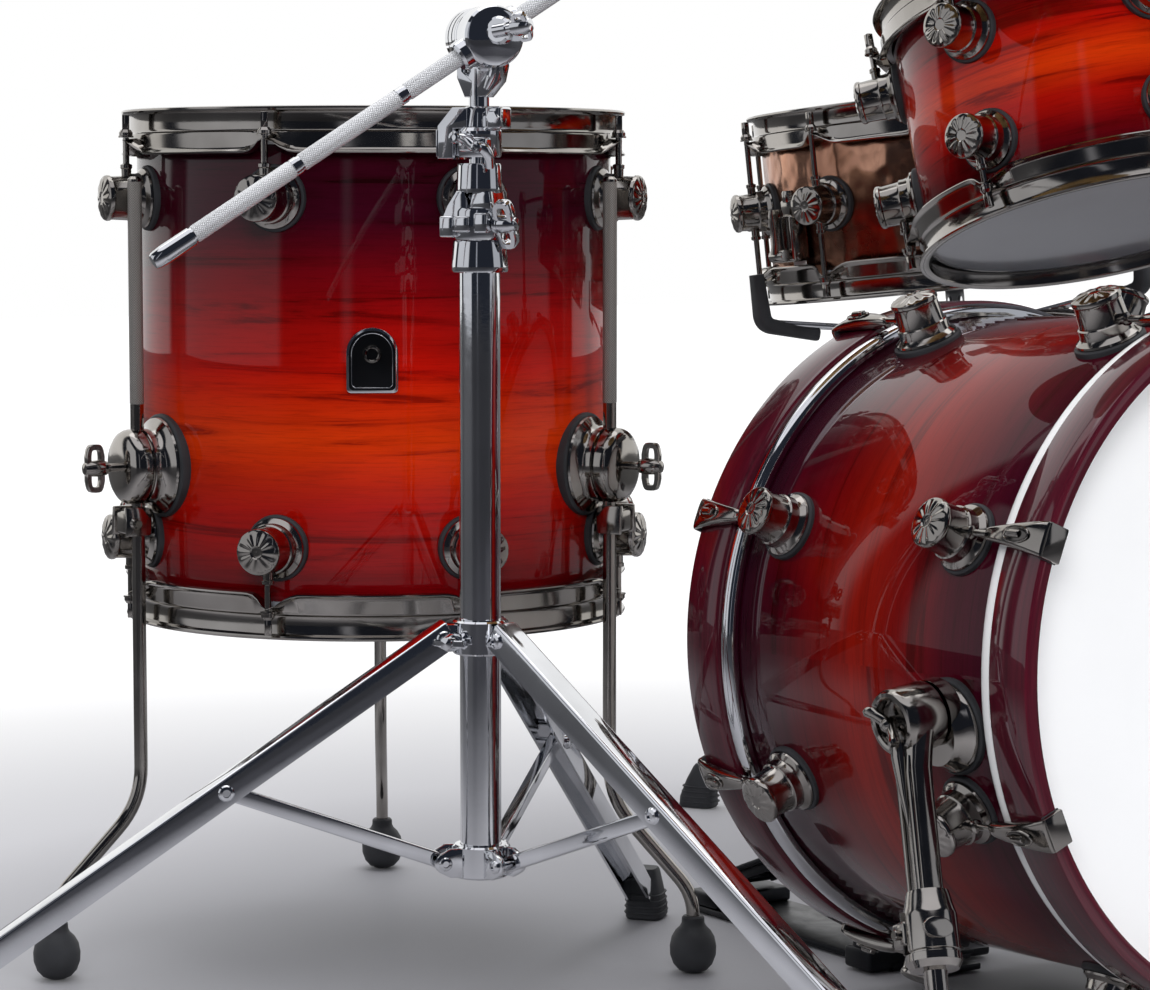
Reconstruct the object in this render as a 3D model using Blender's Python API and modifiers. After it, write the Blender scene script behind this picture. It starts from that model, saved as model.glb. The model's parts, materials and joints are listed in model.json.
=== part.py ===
"""Acoustic drum kit: bass drum with pedal, rack tom, floor tom, snare drum on its stand, and a boom
cymbal stand. Metres, +Z up. The bass drum's axis lies along Y and its front faces -Y.

Each drum is modelled in its own frame: Z is the drum's axis towards the batter head, and angles run
round that axis from the frame's -Y side. Every moving piece hangs on an empty named joint_..., whose
Z axis is the joint's axis."""

import math

import bmesh
import bpy
from mathutils import Matrix, Vector

INCH = 0.0254
GAP = 0.0003

# Place of the bass drum's centre on the floor, which puts the kit's box over the origin.
KIT_ORIGIN = Vector((0.1065, -0.3397, 0))

SIDES_SHELL = 32
SIDES_ROD = 8

# Shells: radius and depth of the wooden or metal cylinder, and where its centre stands.
BASS_RADIUS, BASS_DEPTH = 10 * INCH, 14 * INCH
FLOOR_RADIUS, FLOOR_DEPTH = 8 * INCH, 16 * INCH
RACK_RADIUS, RACK_DEPTH = 6 * INCH, 8 * INCH
SNARE_RADIUS, SNARE_DEPTH = 7 * INCH, 6.5 * INCH
WALL = 0.0070
SNARE_WALL = 0.0030

BASS_CENTRE = Vector((0, 0, 0.3014))
BASS_TILT = math.radians(2.1)
FLOOR_TOM_CENTRE = Vector((-0.3313, 0.5821, 0.5038))
FLOOR_TOM_TURN = math.radians(-30.4)
RACK_BOTTOM = Vector((0.200, 0.238, 0.616))
RACK_LEAN, RACK_LEAN_TOWARDS = math.radians(19), math.radians(87)
RACK_LUG_START, RACK_BRACKET_ANGLE = -75, 15
SNARE_BOTTOM = Vector((0.4137, 0.7115, 0.5551))
SNARE_LEAN, SNARE_LEAN_TOWARDS = math.radians(6), math.radians(137)

# Heads and pressed steel hoops, measured from the shell's radius and edge.
HEAD_THICK = 0.0012
FLESH_OUT, FLESH_DEEP = 0.0064, 0.010
HOOP_IN, HOOP_WALL, HOOP_LIP, HOOP_FLANGE = 0.0068, 0.0092, 0.0123, 0.0160
HOOP_ABOVE, HOOP_BELOW = 0.0125, 0.026
ROD_CIRCLE, ROD_RADIUS = 0.0170, 0.0030

# Lugs: a turned cup on a rubber gasket.
LUG_FOOT, LUG_CAP, LUG_STANDS = 0.0260, 0.0180, 0.040
LUG_BELOW_HOOP = 0.0655

# Wooden bass hoops and their claws.
BASS_HOOP_OUT, BASS_HOOP_IN, BASS_HOOP_WIDE, BASS_HOOP_PAST = 0.0130, 0.0020, 0.040, 0.0265
BASS_LUG_FROM_END = 0.098
CLAW_WIDE, CLAW_BACK, CLAW_NOSE = 0.024, (0.010, 0.038), (0.022, 0.006)

# Spurs: pivot beside the shell, and a leg that leans forwards and outwards.
SPUR_ANGLE, SPUR_FROM_FRONT, SPUR_OUT, SPUR_LIFT = math.radians(98), 0.097, 0.038, 0.014
SPUR_FORWARD, SPUR_SIDEWAYS = 0.120, 0.055
SPUR_ARM, SPUR_CLAMP, SPUR_ROD_TOP = 0.128, 0.182, 0.100

# Tom holder: a post through a mount on the bass drum, and an arm from its knuckle to the rack tom.
POST_PLACE = Vector((0.120, -0.020, 0))
POST_RADIUS, POST_LOW, MOUNT_LOW, MOUNT_TOP = 0.0095, 0.440, 0.516, 0.590
KNUCKLE_Z, KNUCKLE_RADIUS, ARM_RADIUS = 0.790, 0.020, 0.0055
BRACKET_STANDS = 0.030

# Floor tom legs.
LEG_ANGLES = (-60, 60, 180)
LEG_OUT, LEG_RADIUS, LEG_TOP, LEG_BRACKET_Z = 0.0238, 0.0058, 0.661, 0.423
LEG_BEND_Z, LEG_KNEE_Z, LEG_FOOT_OUT = 0.141, 0.066, 0.0785
BOSS_STANDS, FOOT_RADIUS = 0.042, 0.0195

# Boom stand: tripod, telescoping tubes, tilter and cymbal.
STAND_PLACE = Vector((-0.456, 0.205, 0))
STAND_LEGS = (130.6, 10.6, 250.6)
STAND_TUBE, STAND_TUBE_IN, STAND_TUBE_LOW, STAND_TUBE_TOP = 0.0156, 0.0142, 0.130, 0.5900
COLLAR_LOW, COLLAR_HIGH = 0.1435, 0.315
COLLAR_OUT = 0.030
STAND_SPREAD = 0.485
BRACE_AT, SLOT_SHARE = 0.365, 0.62
FOLD_SLIDE = 0.150
TRIPOD_FOOT_Z = 0.012
BOOM_RAIL = (0.020, 0.004, 0.014)
MID_TUBE, MID_TUBE_IN = 0.0127, 0.0100
TOP_TUBE = 0.0078
CASTING = 0.0195
CASTING_LOW, CASTING_MID, CASTING_TOP = 0.5910, 0.6720, 0.7180
BOOM_PIVOT_Z, BOOM_AZIMUTH, BOOM_RISE = 0.765, math.radians(12.0), math.radians(32.7)
BOOM_OFFSET = 0.024
BOOM_BEHIND, BOOM_AHEAD, BOOM_RADIUS = 0.305, 0.400, 0.00635
CYMBAL_RADIUS, CYMBAL_HOLE, CYMBAL_LEAN = 8 * INCH, 0.0062, math.radians(12)

# Snare drum's fittings and its stand.
SNARE_LUG_START, STRAINER_ANGLE, STRAINER_Z = -5, -92, -0.030
SNARE_STAND_LEGS = (-148, -28, 92)
SNARE_COLLAR_Z, SNARE_LOW_Z, SNARE_PIVOT_OUT, SNARE_SPREAD, SNARE_FOLD = 0.235, 0.095, 0.026, 0.285, 0.070
SNARE_RAIL = (0.016, 0.003, 0.011)
SNARE_TUBE, SNARE_TUBE_IN, SNARE_TUBE_TOP = 0.0125, 0.0105, 0.420
SNARE_POST, BASKET_BELOW, BASKET_ARM_OUT = 0.0095, 0.060, 0.2175
BASKET_ARMS = (-100, 20, 140)

# Bass pedal, in a frame at the batter hoop.
PEDAL_Y, PEDAL_LENGTH, PEDAL_WIDE, PEDAL_HEEL = 0.222, 0.300, 0.084, 0.275
PEDAL_AXLE_Z, PEDAL_POST_X, AXLE_RADIUS = 0.215, 0.056, 0.0050
BEATER_REACH, BEATER_BACK = 0.160, math.radians(38)


def empty_scene():
    for obj in list(bpy.data.objects):
        bpy.data.objects.remove(obj, do_unlink=True)


def new_collection(name):
    made = bpy.data.collections.new(name)
    bpy.context.scene.collection.children.link(made)
    return made


empty_scene()
KIT = new_collection("drum_kit")
HELPERS = new_collection("helpers")
HELPERS.hide_render = True

FINISHES = {
    "lacquer": ((0.42, 0.02, 0.01), 0.08, 0.0),
    "hoop_lacquer": ((0.07, 0.005, 0.01), 0.08, 0.0),
    "copper": ((0.30, 0.13, 0.08), 0.22, 1.0),
    "head_white": ((0.86, 0.86, 0.85), 0.5, 0.0),
    "head_clear": ((0.55, 0.56, 0.58), 0.25, 0.0),
    "black_nickel": ((0.22, 0.20, 0.18), 0.16, 1.0),
    "chrome": ((0.80, 0.81, 0.83), 0.08, 1.0),
    "rubber": ((0.03, 0.03, 0.035), 0.7, 0.0),
    "bronze": ((0.70, 0.48, 0.20), 0.28, 1.0),
    "steel": ((0.60, 0.60, 0.62), 0.3, 1.0),
    "black_metal": ((0.04, 0.04, 0.045), 0.35, 0.6),
}


def material(node, finish):
    colour, roughness, metallic = FINISHES[finish]
    made = bpy.data.materials.new(node)
    made.use_nodes = True
    shader = made.node_tree.nodes["Principled BSDF"]
    shader.inputs["Base Color"].default_value = (*colour, 1)
    shader.inputs["Roughness"].default_value = roughness
    shader.inputs["Metallic"].default_value = metallic
    return made


def axes_frame(place, x_axis, z_axis):
    """A matrix at place whose Z is z_axis, and whose X is as near x_axis as it can be."""
    z = Vector(z_axis).normalized()
    y = z.cross(Vector(x_axis)).normalized()
    x = y.cross(z)
    turn = Matrix((x, y, z)).transposed().to_4x4()
    return Matrix.Translation(place) @ turn


def empty(name, matrix, parent=None):
    made = bpy.data.objects.new(name, None)
    made.empty_display_size = 0.05
    KIT.objects.link(made)
    made.matrix_world = matrix
    if parent:
        made.parent = parent
        made.matrix_parent_inverse = parent.matrix_world.inverted()
    return made


def around(degrees):
    """Unit vector across the axis, that many degrees round from -Y towards +X."""
    return Vector((math.sin(math.radians(degrees)), -math.cos(math.radians(degrees)), 0))


# Meshes, each in the frame that it will hang on.


def mesh_of(bm):
    made = bpy.data.meshes.new("mesh")
    bm.normal_update()
    bm.to_mesh(made)
    bm.free()
    return made


def cone(start, end, r_start, r_end=None, sides=SIDES_ROD):
    """A cylinder or a frustum from start to end."""
    start, end = Vector(start), Vector(end)
    along = end - start
    bm = bmesh.new()
    turn = along.to_track_quat("Z", "Y").to_matrix().to_4x4()
    place = Matrix.Translation((start + end) / 2) @ turn
    r_end = r_start if r_end is None else r_end
    bmesh.ops.create_cone(
        bm, cap_ends=True, segments=sides, radius1=r_start, radius2=r_end, depth=along.length, matrix=place
    )
    return mesh_of(bm)


def block(centre, size, matrix=Matrix.Identity(4)):
    """A box of that size, turned by matrix."""
    bm = bmesh.new()
    place = matrix @ Matrix.Translation(centre) @ Matrix.Diagonal((*size, 1))
    bmesh.ops.create_cube(bm, size=1.0, matrix=place)
    return mesh_of(bm)


def ball(centre, radius, sides=8, stretch=1.0):
    bm = bmesh.new()
    place = Matrix.Translation(centre) @ Matrix.Diagonal((1, 1, stretch, 1))
    bmesh.ops.create_uvsphere(bm, u_segments=sides, v_segments=6, radius=radius, matrix=place)
    return mesh_of(bm)


def bar(start, end, wide, thick, across):
    """A flat bar from start to end; across is the direction of its width."""
    start, end = Vector(start), Vector(end)
    place = axes_frame((start + end) / 2, across, end - start)
    return block((0, 0, 0), (wide, thick, (end - start).length), place)


def bent_rod(points, radius):
    """A bent round rod: a poly curve with filled caps, made a mesh and welded."""
    curve = bpy.data.curves.new("rod", "CURVE")
    curve.dimensions = "3D"
    curve.bevel_depth = radius
    curve.bevel_resolution = 2
    curve.use_fill_caps = True
    spline = curve.splines.new("POLY")
    spline.points.add(len(points) - 1)
    for point, place in zip(spline.points, points):
        point.co = (*place, 1)
    guide = bpy.data.objects.new("rod_guide", curve)
    HELPERS.objects.link(guide)
    bpy.context.view_layer.update()
    drawn = guide.evaluated_get(bpy.context.evaluated_depsgraph_get())
    bm = bmesh.new()
    bm.from_mesh(bpy.data.meshes.new_from_object(drawn))
    bmesh.ops.remove_doubles(bm, verts=bm.verts, dist=1e-5)
    bpy.data.objects.remove(guide, do_unlink=True)
    return mesh_of(bm)


def profile_mesh(points, closed):
    """The half section of a turned piece, in the XZ plane."""
    bm = bmesh.new()
    verts = [bm.verts.new((x, 0, z)) for x, z in points]
    pairs = list(zip(verts, verts[1:])) + ([(verts[-1], verts[0])] if closed else [])
    for pair in pairs:
        bm.edges.new(pair)
    return mesh_of(bm)


def turned(node, finish, frame, points, closed=True, sides=SIDES_SHELL):
    """A turned piece. On its outer side the profile runs from top to bottom."""
    made = placed(node, finish, frame, profile_mesh(points, closed))
    screw = made.modifiers.new("Turn", "SCREW")
    screw.steps = screw.render_steps = sides
    screw.use_merge_vertices = True
    screw.merge_threshold = 0.0001
    screw.use_normal_calculate = False
    return made


def placed(node, finish, frame, mesh):
    made = bpy.data.objects.new(node, mesh)
    KIT.objects.link(made)
    made.parent = frame
    mesh.materials.append(material(node, finish))
    return made


def combine(obj, meshes, operation="UNION"):
    """Joins helper solids to a piece, or cuts them from it. They are given in the piece's own frame."""
    group = bpy.data.collections.new(obj.name + "_" + operation.lower())
    HELPERS.children.link(group)
    for mesh in meshes:
        helper = bpy.data.objects.new(group.name, mesh)
        group.objects.link(helper)
        helper.parent = obj.parent
        helper.hide_render = True
        helper.display_type = "WIRE"
    boolean = obj.modifiers.new(operation.title(), "BOOLEAN")
    boolean.operation = operation
    boolean.operand_type = "COLLECTION"
    boolean.collection = group
    boolean.solver = "EXACT"


def piece(node, finish, frame, meshes, cutters=()):
    """A piece of several joined solids."""
    made = placed(node, finish, frame, meshes[0])
    if len(meshes) > 1:
        combine(made, meshes[1:])
    if cutters:
        combine(made, cutters, "DIFFERENCE")
    return made


# Drums.


def lug(angle, z, radius):
    out = around(angle)
    height = Vector((0, 0, z))
    inner, outer = radius - 0.003, radius + LUG_STANDS
    return cone(height + out * inner, height + out * outer, LUG_FOOT, LUG_CAP)


def drum_shell(name, finish, frame, radius, depth, wall, angles, heights):
    """The cylinder with its lugs bolted on, at each of these angles and heights."""
    half = depth / 2
    inside = radius - wall
    points = ((inside, half), (radius, half), (radius, -half), (inside, -half))
    made = turned(name, finish, frame, points)
    combine(made, [lug(angle, z, radius) for angle in angles for z in heights])
    return made


def head(name, finish, frame, radius, depth, side):
    """A drum head: its film lies on the shell's edge and its flesh ring hangs round the shell."""
    low, high = depth / 2 + GAP, depth / 2 + GAP + HEAD_THICK
    ring_in, ring_out, ring_low = radius + GAP, radius + FLESH_OUT, depth / 2 - FLESH_DEEP
    points = [
        (0, high), (ring_out, high), (ring_out, ring_low), (ring_in, ring_low), (ring_in, low), (0, low),
    ]
    if side < 0:
        points = [(x, -z) for x, z in reversed(points)]
    return turned(name, finish, frame, points, closed=False)


def hoop_rods(radius, z_flange, z_lug, lugs, side):
    """Tension rods from above the flange, through it, to just short of the lug."""
    made = []
    for angle in lugs:
        out = around(angle) * (radius + ROD_CIRCLE)
        top = Vector((0, 0, side * (z_flange + 0.012)))
        low = Vector((0, 0, side * z_lug))
        made.append(cone(out + low, out + top, ROD_RADIUS, sides=5))
    return made


def steel_hoop(name, frame, radius, depth, side, lugs, z_lug):
    top, flange, base = depth / 2 + HOOP_ABOVE, depth / 2 - HOOP_BELOW + 0.004, depth / 2 - HOOP_BELOW
    points = [
        (radius + HOOP_IN, top), (radius + HOOP_LIP, top), (radius + HOOP_WALL, top - 0.003),
        (radius + HOOP_WALL, flange), (radius + HOOP_FLANGE, flange), (radius + HOOP_FLANGE, base),
        (radius + HOOP_IN, base),
    ]
    if side < 0:
        points = [(x, -z) for x, z in reversed(points)]
    made = turned(name, "black_nickel", frame, points)
    combine(made, hoop_rods(radius, flange, z_lug + LUG_FOOT * 0.9, lugs, side))
    return made


def claw(angle, radius, depth, side):
    """A claw hooked over the wooden hoop, with its tension rod."""
    out = around(angle)
    place = axes_frame((0, 0, 0), out, (0, 0, 1))
    end = depth / 2 + BASS_HOOP_PAST
    r_out = radius + BASS_HOOP_OUT
    back = block((r_out + 0.003, 0, side * (end - 0.018)), (CLAW_BACK[0], CLAW_WIDE, CLAW_BACK[1]), place)
    nose = block((r_out - 0.004, 0, side * (end + 0.0015)), (CLAW_NOSE[0], CLAW_WIDE, CLAW_NOSE[1]), place)
    rod_start = Vector((0, 0, side * (end - BASS_LUG_FROM_END + LUG_FOOT * 0.9)))
    rod_end = Vector((0, 0, side * (end - 0.02)))
    path = out * (radius + ROD_CIRCLE)
    rod = cone(path + rod_start, path + rod_end, ROD_RADIUS, sides=5)
    return [back, nose, rod]


def wooden_hoop(name, frame, radius, depth, side, lugs):
    end = depth / 2 + BASS_HOOP_PAST
    base = end - BASS_HOOP_WIDE
    flesh_top = depth / 2 + 2 * GAP + HEAD_THICK
    points = [
        (radius - 0.001, end), (radius + BASS_HOOP_OUT, end), (radius + BASS_HOOP_OUT, base),
        (radius + FLESH_OUT + GAP, base), (radius + FLESH_OUT + GAP, flesh_top), (radius - 0.001, flesh_top),
    ]
    if side < 0:
        points = [(x, -z) for x, z in reversed(points)]
    made = turned(name, "hoop_lacquer", frame, points)
    combine(made, [part for angle in lugs for part in claw(angle, radius, depth, side)])
    return made


def lean(angle, towards):
    return Vector((math.sin(angle) * math.cos(towards), math.sin(angle) * math.sin(towards), math.cos(angle)))


def every(step, start=0.0):
    return [start + step * k for k in range(round(360 / step))]


# Bass drum. In its frame Z runs to the rear, and -Y, from which angles run, points down.


def bass_frame_matrix():
    rear = Vector((0, math.cos(BASS_TILT), -math.sin(BASS_TILT)))
    return axes_frame(KIT_ORIGIN + BASS_CENTRE, (-1, 0, 0), rear)


def bass_drum():
    frame = empty("bass_drum", bass_frame_matrix())
    angles = every(45, 22.5)
    z_lug = BASS_DEPTH / 2 + BASS_HOOP_PAST - BASS_LUG_FROM_END
    made = drum_shell("bass_shell", "lacquer", frame, BASS_RADIUS, BASS_DEPTH, WALL, angles, (z_lug, -z_lug))
    combine(made, [spur_boss(side) for side in (1, -1)] + tom_mount(frame))
    combine(made, [tom_post_hole(frame)], "DIFFERENCE")
    head("bass_batter_head", "head_white", frame, BASS_RADIUS, BASS_DEPTH, 1)
    head("bass_front_head", "head_white", frame, BASS_RADIUS, BASS_DEPTH, -1)
    wooden_hoop("bass_batter_hoop", frame, BASS_RADIUS, BASS_DEPTH, 1, angles)
    wooden_hoop("bass_front_hoop", frame, BASS_RADIUS, BASS_DEPTH, -1, angles)
    for side, name in ((1, "right"), (-1, "left")):
        spur(frame, side, name)
    return frame


def spur_direction(side):
    return Vector((-side * math.sin(SPUR_ANGLE), math.cos(SPUR_ANGLE), 0))


def spur_z():
    return -(BASS_DEPTH / 2 + BASS_HOOP_PAST) + SPUR_FROM_FRONT


def spur_boss(side):
    """The bracket that the spur pivots on, joined to the shell."""
    out = spur_direction(side)
    z = Vector((0, 0, spur_z()))
    return cone(z + out * (BASS_RADIUS - 0.003), z + out * (BASS_RADIUS + 0.021), 0.036, 0.030)


def spur(frame, side, name):
    """A spur that folds about its bracket, with a tip rod that slides in it."""
    out = spur_direction(side)
    axis = (frame.matrix_world.to_3x3() @ out).normalized()
    lift = (Vector((0, 0, 1)) - axis * axis.z).normalized() * SPUR_LIFT
    pivot = frame.matrix_world @ (Vector((0, 0, spur_z())) + out * (BASS_RADIUS + SPUR_OUT)) + lift
    foot = Vector((pivot.x + side * SPUR_SIDEWAYS, pivot.y - SPUR_FORWARD, 0))
    hinge = empty(f"joint_{name}_spur_fold", axes_frame(pivot, (0, 0, 1), axis))
    local = hinge.matrix_world.inverted()
    down = (foot - pivot).normalized()
    reach = (foot - pivot).length
    elbow, collar, tip = pivot + down * 0.012, pivot + down * SPUR_ARM, pivot + down * SPUR_CLAMP
    body = [
        cone(Vector((0, 0, -0.0165)), Vector((0, 0, 0.018)), 0.024),
        cone(local @ elbow, local @ (collar + down * 0.010), 0.0145),
        cone(local @ collar, local @ tip, 0.0195),
    ]
    hole = cone(local @ (pivot + down * 0.060), local @ (tip + down * 0.008), 0.0088)
    piece(f"{name}_spur", "black_nickel", hinge, body, [hole])
    slide = empty(f"joint_{name}_spur_reach", axes_frame(foot, (1, 0, 0), down))
    ball_z = 0.010
    rod = cone(Vector((0, 0, -(reach - SPUR_ROD_TOP))), Vector((0, 0, -ball_z)), 0.0083)
    tip_place = slide.matrix_world.inverted() @ (foot + Vector((0, 0, 0.012)))
    rubber = ball(tip_place, 0.012)
    piece(f"{name}_spur_tip", "black_nickel", slide, [rod, rubber])


# Rack tom, on a post that slides in the mount on the bass drum.


def tom_mount(frame):
    """The block on the bass drum that clamps the post, in the bass drum's frame."""
    local = frame.matrix_world.inverted()
    place = KIT_ORIGIN + POST_PLACE
    low, high = place + Vector((0, 0, MOUNT_LOW)), place + Vector((0, 0, MOUNT_TOP))
    return [cone(local @ low, local @ high, 0.034, 0.022)]


def tom_post_hole(frame):
    local = frame.matrix_world.inverted()
    place = KIT_ORIGIN + POST_PLACE
    low, high = place + Vector((0, 0, POST_LOW)), place + Vector((0, 0, MOUNT_TOP + 0.02))
    return cone(local @ low, local @ high, POST_RADIUS + 3 * GAP)


def rack_tom():
    place = KIT_ORIGIN + POST_PLACE
    knuckle = place + Vector((0, 0, KNUCKLE_Z))
    slide = empty("joint_tom_post_height", axes_frame(knuckle, (1, 0, 0), (0, 0, 1)))
    rod = cone((0, 0, POST_LOW - KNUCKLE_Z), (0, 0, -0.006), POST_RADIUS)
    clamp = cone((-0.017, 0, 0), (0.017, 0, 0), KNUCKLE_RADIUS)
    piece("tom_post", "black_nickel", slide, [rod, clamp])

    hinge = empty("joint_rack_tom_tilt", axes_frame(knuckle, (0, 0, 1), (1, 0, 0)))
    axis = lean(RACK_LEAN, RACK_LEAN_TOWARDS)
    centre = KIT_ORIGIN + RACK_BOTTOM + axis * (RACK_DEPTH / 2 + HOOP_ABOVE)
    frame = empty("rack_tom", axes_frame(centre, (1, 0, 0), axis), hinge)
    angles = every(60, RACK_LUG_START)
    z_lug = RACK_DEPTH / 2 + HOOP_ABOVE - LUG_BELOW_HOOP
    drum_shell("rack_tom_shell", "lacquer", frame, RACK_RADIUS, RACK_DEPTH, WALL, angles, (z_lug, -z_lug))
    boss_out = around(RACK_BRACKET_ANGLE)
    boss = cone(boss_out * (RACK_RADIUS - 0.003), boss_out * (RACK_RADIUS + BRACKET_STANDS), 0.034, 0.024)
    combine(bpy.data.objects["rack_tom_shell"], [boss])
    heads_and_hoops("rack_tom", frame, RACK_RADIUS, RACK_DEPTH, angles, z_lug, "head_clear")

    face = frame.matrix_world @ (boss_out * (RACK_RADIUS + BRACKET_STANDS + GAP))
    corner = frame.matrix_world @ (boss_out * (RACK_RADIUS + BRACKET_STANDS + 0.045))
    start = knuckle + (corner - knuckle).normalized() * (KNUCKLE_RADIUS + 0.004)
    local = hinge.matrix_world.inverted()
    arm = bent_rod([local @ start, local @ corner, local @ face], ARM_RADIUS)
    piece("tom_arm", "black_nickel", hinge, [arm])


def heads_and_hoops(name, frame, radius, depth, angles, z_lug, lower_finish):
    head(f"{name}_batter_head", "head_white", frame, radius, depth, 1)
    head(f"{name}_lower_head", lower_finish, frame, radius, depth, -1)
    steel_hoop(f"{name}_batter_hoop", frame, radius, depth, 1, angles, z_lug)
    steel_hoop(f"{name}_lower_hoop", frame, radius, depth, -1, angles, z_lug)


# Floor tom and its three legs, each a sliding rod held by a wing screw.


def floor_tom():
    turn = Matrix.Rotation(FLOOR_TOM_TURN, 4, "Z")
    frame = empty("floor_tom", Matrix.Translation(KIT_ORIGIN + FLOOR_TOM_CENTRE) @ turn)
    angles = every(45, 22.5)
    z_lug = FLOOR_DEPTH / 2 + HOOP_ABOVE - 0.074
    drum_shell("floor_tom_shell", "lacquer", frame, FLOOR_RADIUS, FLOOR_DEPTH, WALL, angles, (z_lug, -z_lug))
    made = bpy.data.objects["floor_tom_shell"]
    combine(made, [leg_boss(angle) for angle in LEG_ANGLES])
    holes = [leg_rod_path(angle, LEG_TOP, 0.15, LEG_RADIUS + 2 * GAP) for angle in LEG_ANGLES]
    combine(made, holes, "DIFFERENCE")
    heads_and_hoops("floor_tom", frame, FLOOR_RADIUS, FLOOR_DEPTH, angles, z_lug, "head_clear")
    for number, angle in enumerate(LEG_ANGLES, 1):
        floor_tom_leg(frame, angle, number)
        leg_screw(frame, angle, number)


def leg_boss(angle):
    out = around(angle)
    z = Vector((0, 0, LEG_BRACKET_Z - FLOOR_TOM_CENTRE.z))
    return cone(z + out * (FLOOR_RADIUS - 0.003), z + out * (FLOOR_RADIUS + BOSS_STANDS), 0.041, 0.022)


def leg_rod_path(angle, high, low, radius):
    """A straight rod down the leg's line, between two heights above the floor."""
    out = around(angle) * (FLOOR_RADIUS + LEG_OUT)
    drop = Vector((0, 0, -FLOOR_TOM_CENTRE.z))
    return cone(out + drop + Vector((0, 0, low)), out + drop + Vector((0, 0, high)), radius)


def floor_tom_leg(frame, angle, number):
    out = around(angle)
    turn = frame.matrix_world.to_3x3()
    floor_place = frame.matrix_world @ (out * (FLOOR_RADIUS + LEG_OUT) - Vector((0, 0, FLOOR_TOM_CENTRE.z)))
    slide = empty(f"joint_floor_tom_leg_{number}", axes_frame(floor_place, turn @ out, (0, 0, 1)))
    foot = Vector((LEG_FOOT_OUT, 0, 0))
    knee, ankle = foot + Vector((0, 0, LEG_KNEE_Z)), foot + Vector((0, 0, 0.022))
    path = [(0, 0, LEG_TOP), (0, 0, LEG_BEND_Z), knee, ankle]
    rubber = ball(foot + Vector((0, 0, FOOT_RADIUS * 1.12)), FOOT_RADIUS, stretch=1.12)
    piece(f"floor_tom_leg_{number}", "black_nickel", slide, [bent_rod(path, LEG_RADIUS), rubber])


def leg_screw(frame, angle, number):
    """An oval wing screw on the outside of the leg's bracket."""
    out = around(angle)
    height = Vector((0, 0, LEG_BRACKET_Z - FLOOR_TOM_CENTRE.z))
    place = frame.matrix_world @ (out * (FLOOR_RADIUS + BOSS_STANDS + GAP) + height)
    axis = frame.matrix_world.to_3x3() @ out
    spin = empty(f"joint_floor_tom_leg_screw_{number}", axes_frame(place, (0, 0, 1), axis))
    stem = cone((0, 0, 0), (0, 0, 0.018), 0.0055)
    wing = block((0, 0, 0.022), (0.040, 0.012, 0.013))
    piece(f"floor_tom_leg_screw_{number}", "black_nickel", spin, [stem, wing])


# Tripods. The legs hang on a collar that slides up the tube, and each brace on the fixed lower collar.


class Tripod:
    """Sizes of one folding tripod: where legs and braces pivot, and how far they swing."""

    def __init__(self, name, place, angles, collar_z, low_z, pivot_out, foot_out, slide):
        self.name, self.place, self.angles = name, place, angles
        self.collar_z, self.low_z, self.pivot_out, self.slide = collar_z, low_z, pivot_out, slide
        self.leg = Vector((foot_out - pivot_out, 0, TRIPOD_FOOT_Z - collar_z))
        self.brace = self.leg * BRACE_AT + Vector((0, 0, collar_z - low_z))


def tripod(stand, tube_radius, rail, finish="chrome"):
    place = KIT_ORIGIN + stand.place + Vector((0, 0, stand.collar_z))
    slide = empty(f"joint_{stand.name}_fold", axes_frame(place, (1, 0, 0), (0, 0, 1)))
    inner, outer, half = tube_radius + 2 * GAP, tube_radius + 0.006, 0.013
    points = ((inner, half), (outer, half), (outer, -half), (inner, -half))
    collar = turned(f"{stand.name}_leg_collar", finish, slide, points, sides=16)
    lugs = []
    for angle in stand.angles:
        out = around(angle)
        across = (-out.y, out.x, 0)
        lugs.append(bar(out * (outer - 0.002), out * (stand.pivot_out - 0.006), 0.009, 0.018, across))
    combine(collar, lugs)
    for number, angle in enumerate(stand.angles, 1):
        tripod_leg(stand, angle, number, rail, finish)
        tripod_brace(stand, angle, number, rail, finish)


def hinge_frame(name, stand, angle, z):
    """A frame at a tripod pivot: X points outwards, Y up, and Z along the hinge."""
    out = around(angle)
    place = KIT_ORIGIN + stand.place + out * stand.pivot_out + Vector((0, 0, z))
    return empty(name, axes_frame(place, out, out.cross(Vector((0, 0, 1)))))


def tripod_leg(stand, angle, number, rail, finish):
    """A leg of two rails with a rubber foot. The brace swings in the slot between them."""
    hinge = hinge_frame(f"joint_{stand.name}_leg_{number}", stand, angle, stand.collar_z)
    end = Vector((stand.leg.x, stand.leg.z, 0))
    along = end.normalized()
    across = Vector((-along.y, along.x, 0))
    wide, thick, slot = rail
    whole = bar(along * 0.002, end - along * 0.012, wide, 2 * thick + slot, across)
    cut = bar(-along * 0.05, end * SLOT_SHARE, 3 * wide, slot, across)
    foot_low = Vector((end.x, end.y - TRIPOD_FOOT_Z, 0))
    rubber = cone(end - along * 0.040, foot_low + Vector((0.0, 0.0115, 0)), 0.013, 0.011)
    sole = block(foot_low + Vector((0.002, 0.012, 0)), (0.026, 0.024, 0.024))
    made = piece(f"{stand.name}_leg_{number}", finish, hinge, [whole])
    combine(made, [cut], "DIFFERENCE")
    combine(made, [rubber, sole])


def tripod_brace(stand, angle, number, rail, finish):
    hinge = hinge_frame(f"joint_{stand.name}_brace_{number}", stand, angle, stand.low_z)
    end = Vector((stand.brace.x, stand.brace.z, 0))
    along = end.normalized()
    across = Vector((-along.y, along.x, 0))
    wide, _, slot = rail
    strip = bar(along * 0.001, end + along * 0.008, 0.7 * wide, slot - 0.004, across)
    piece(f"{stand.name}_brace_{number}", finish, hinge, [strip])


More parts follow.
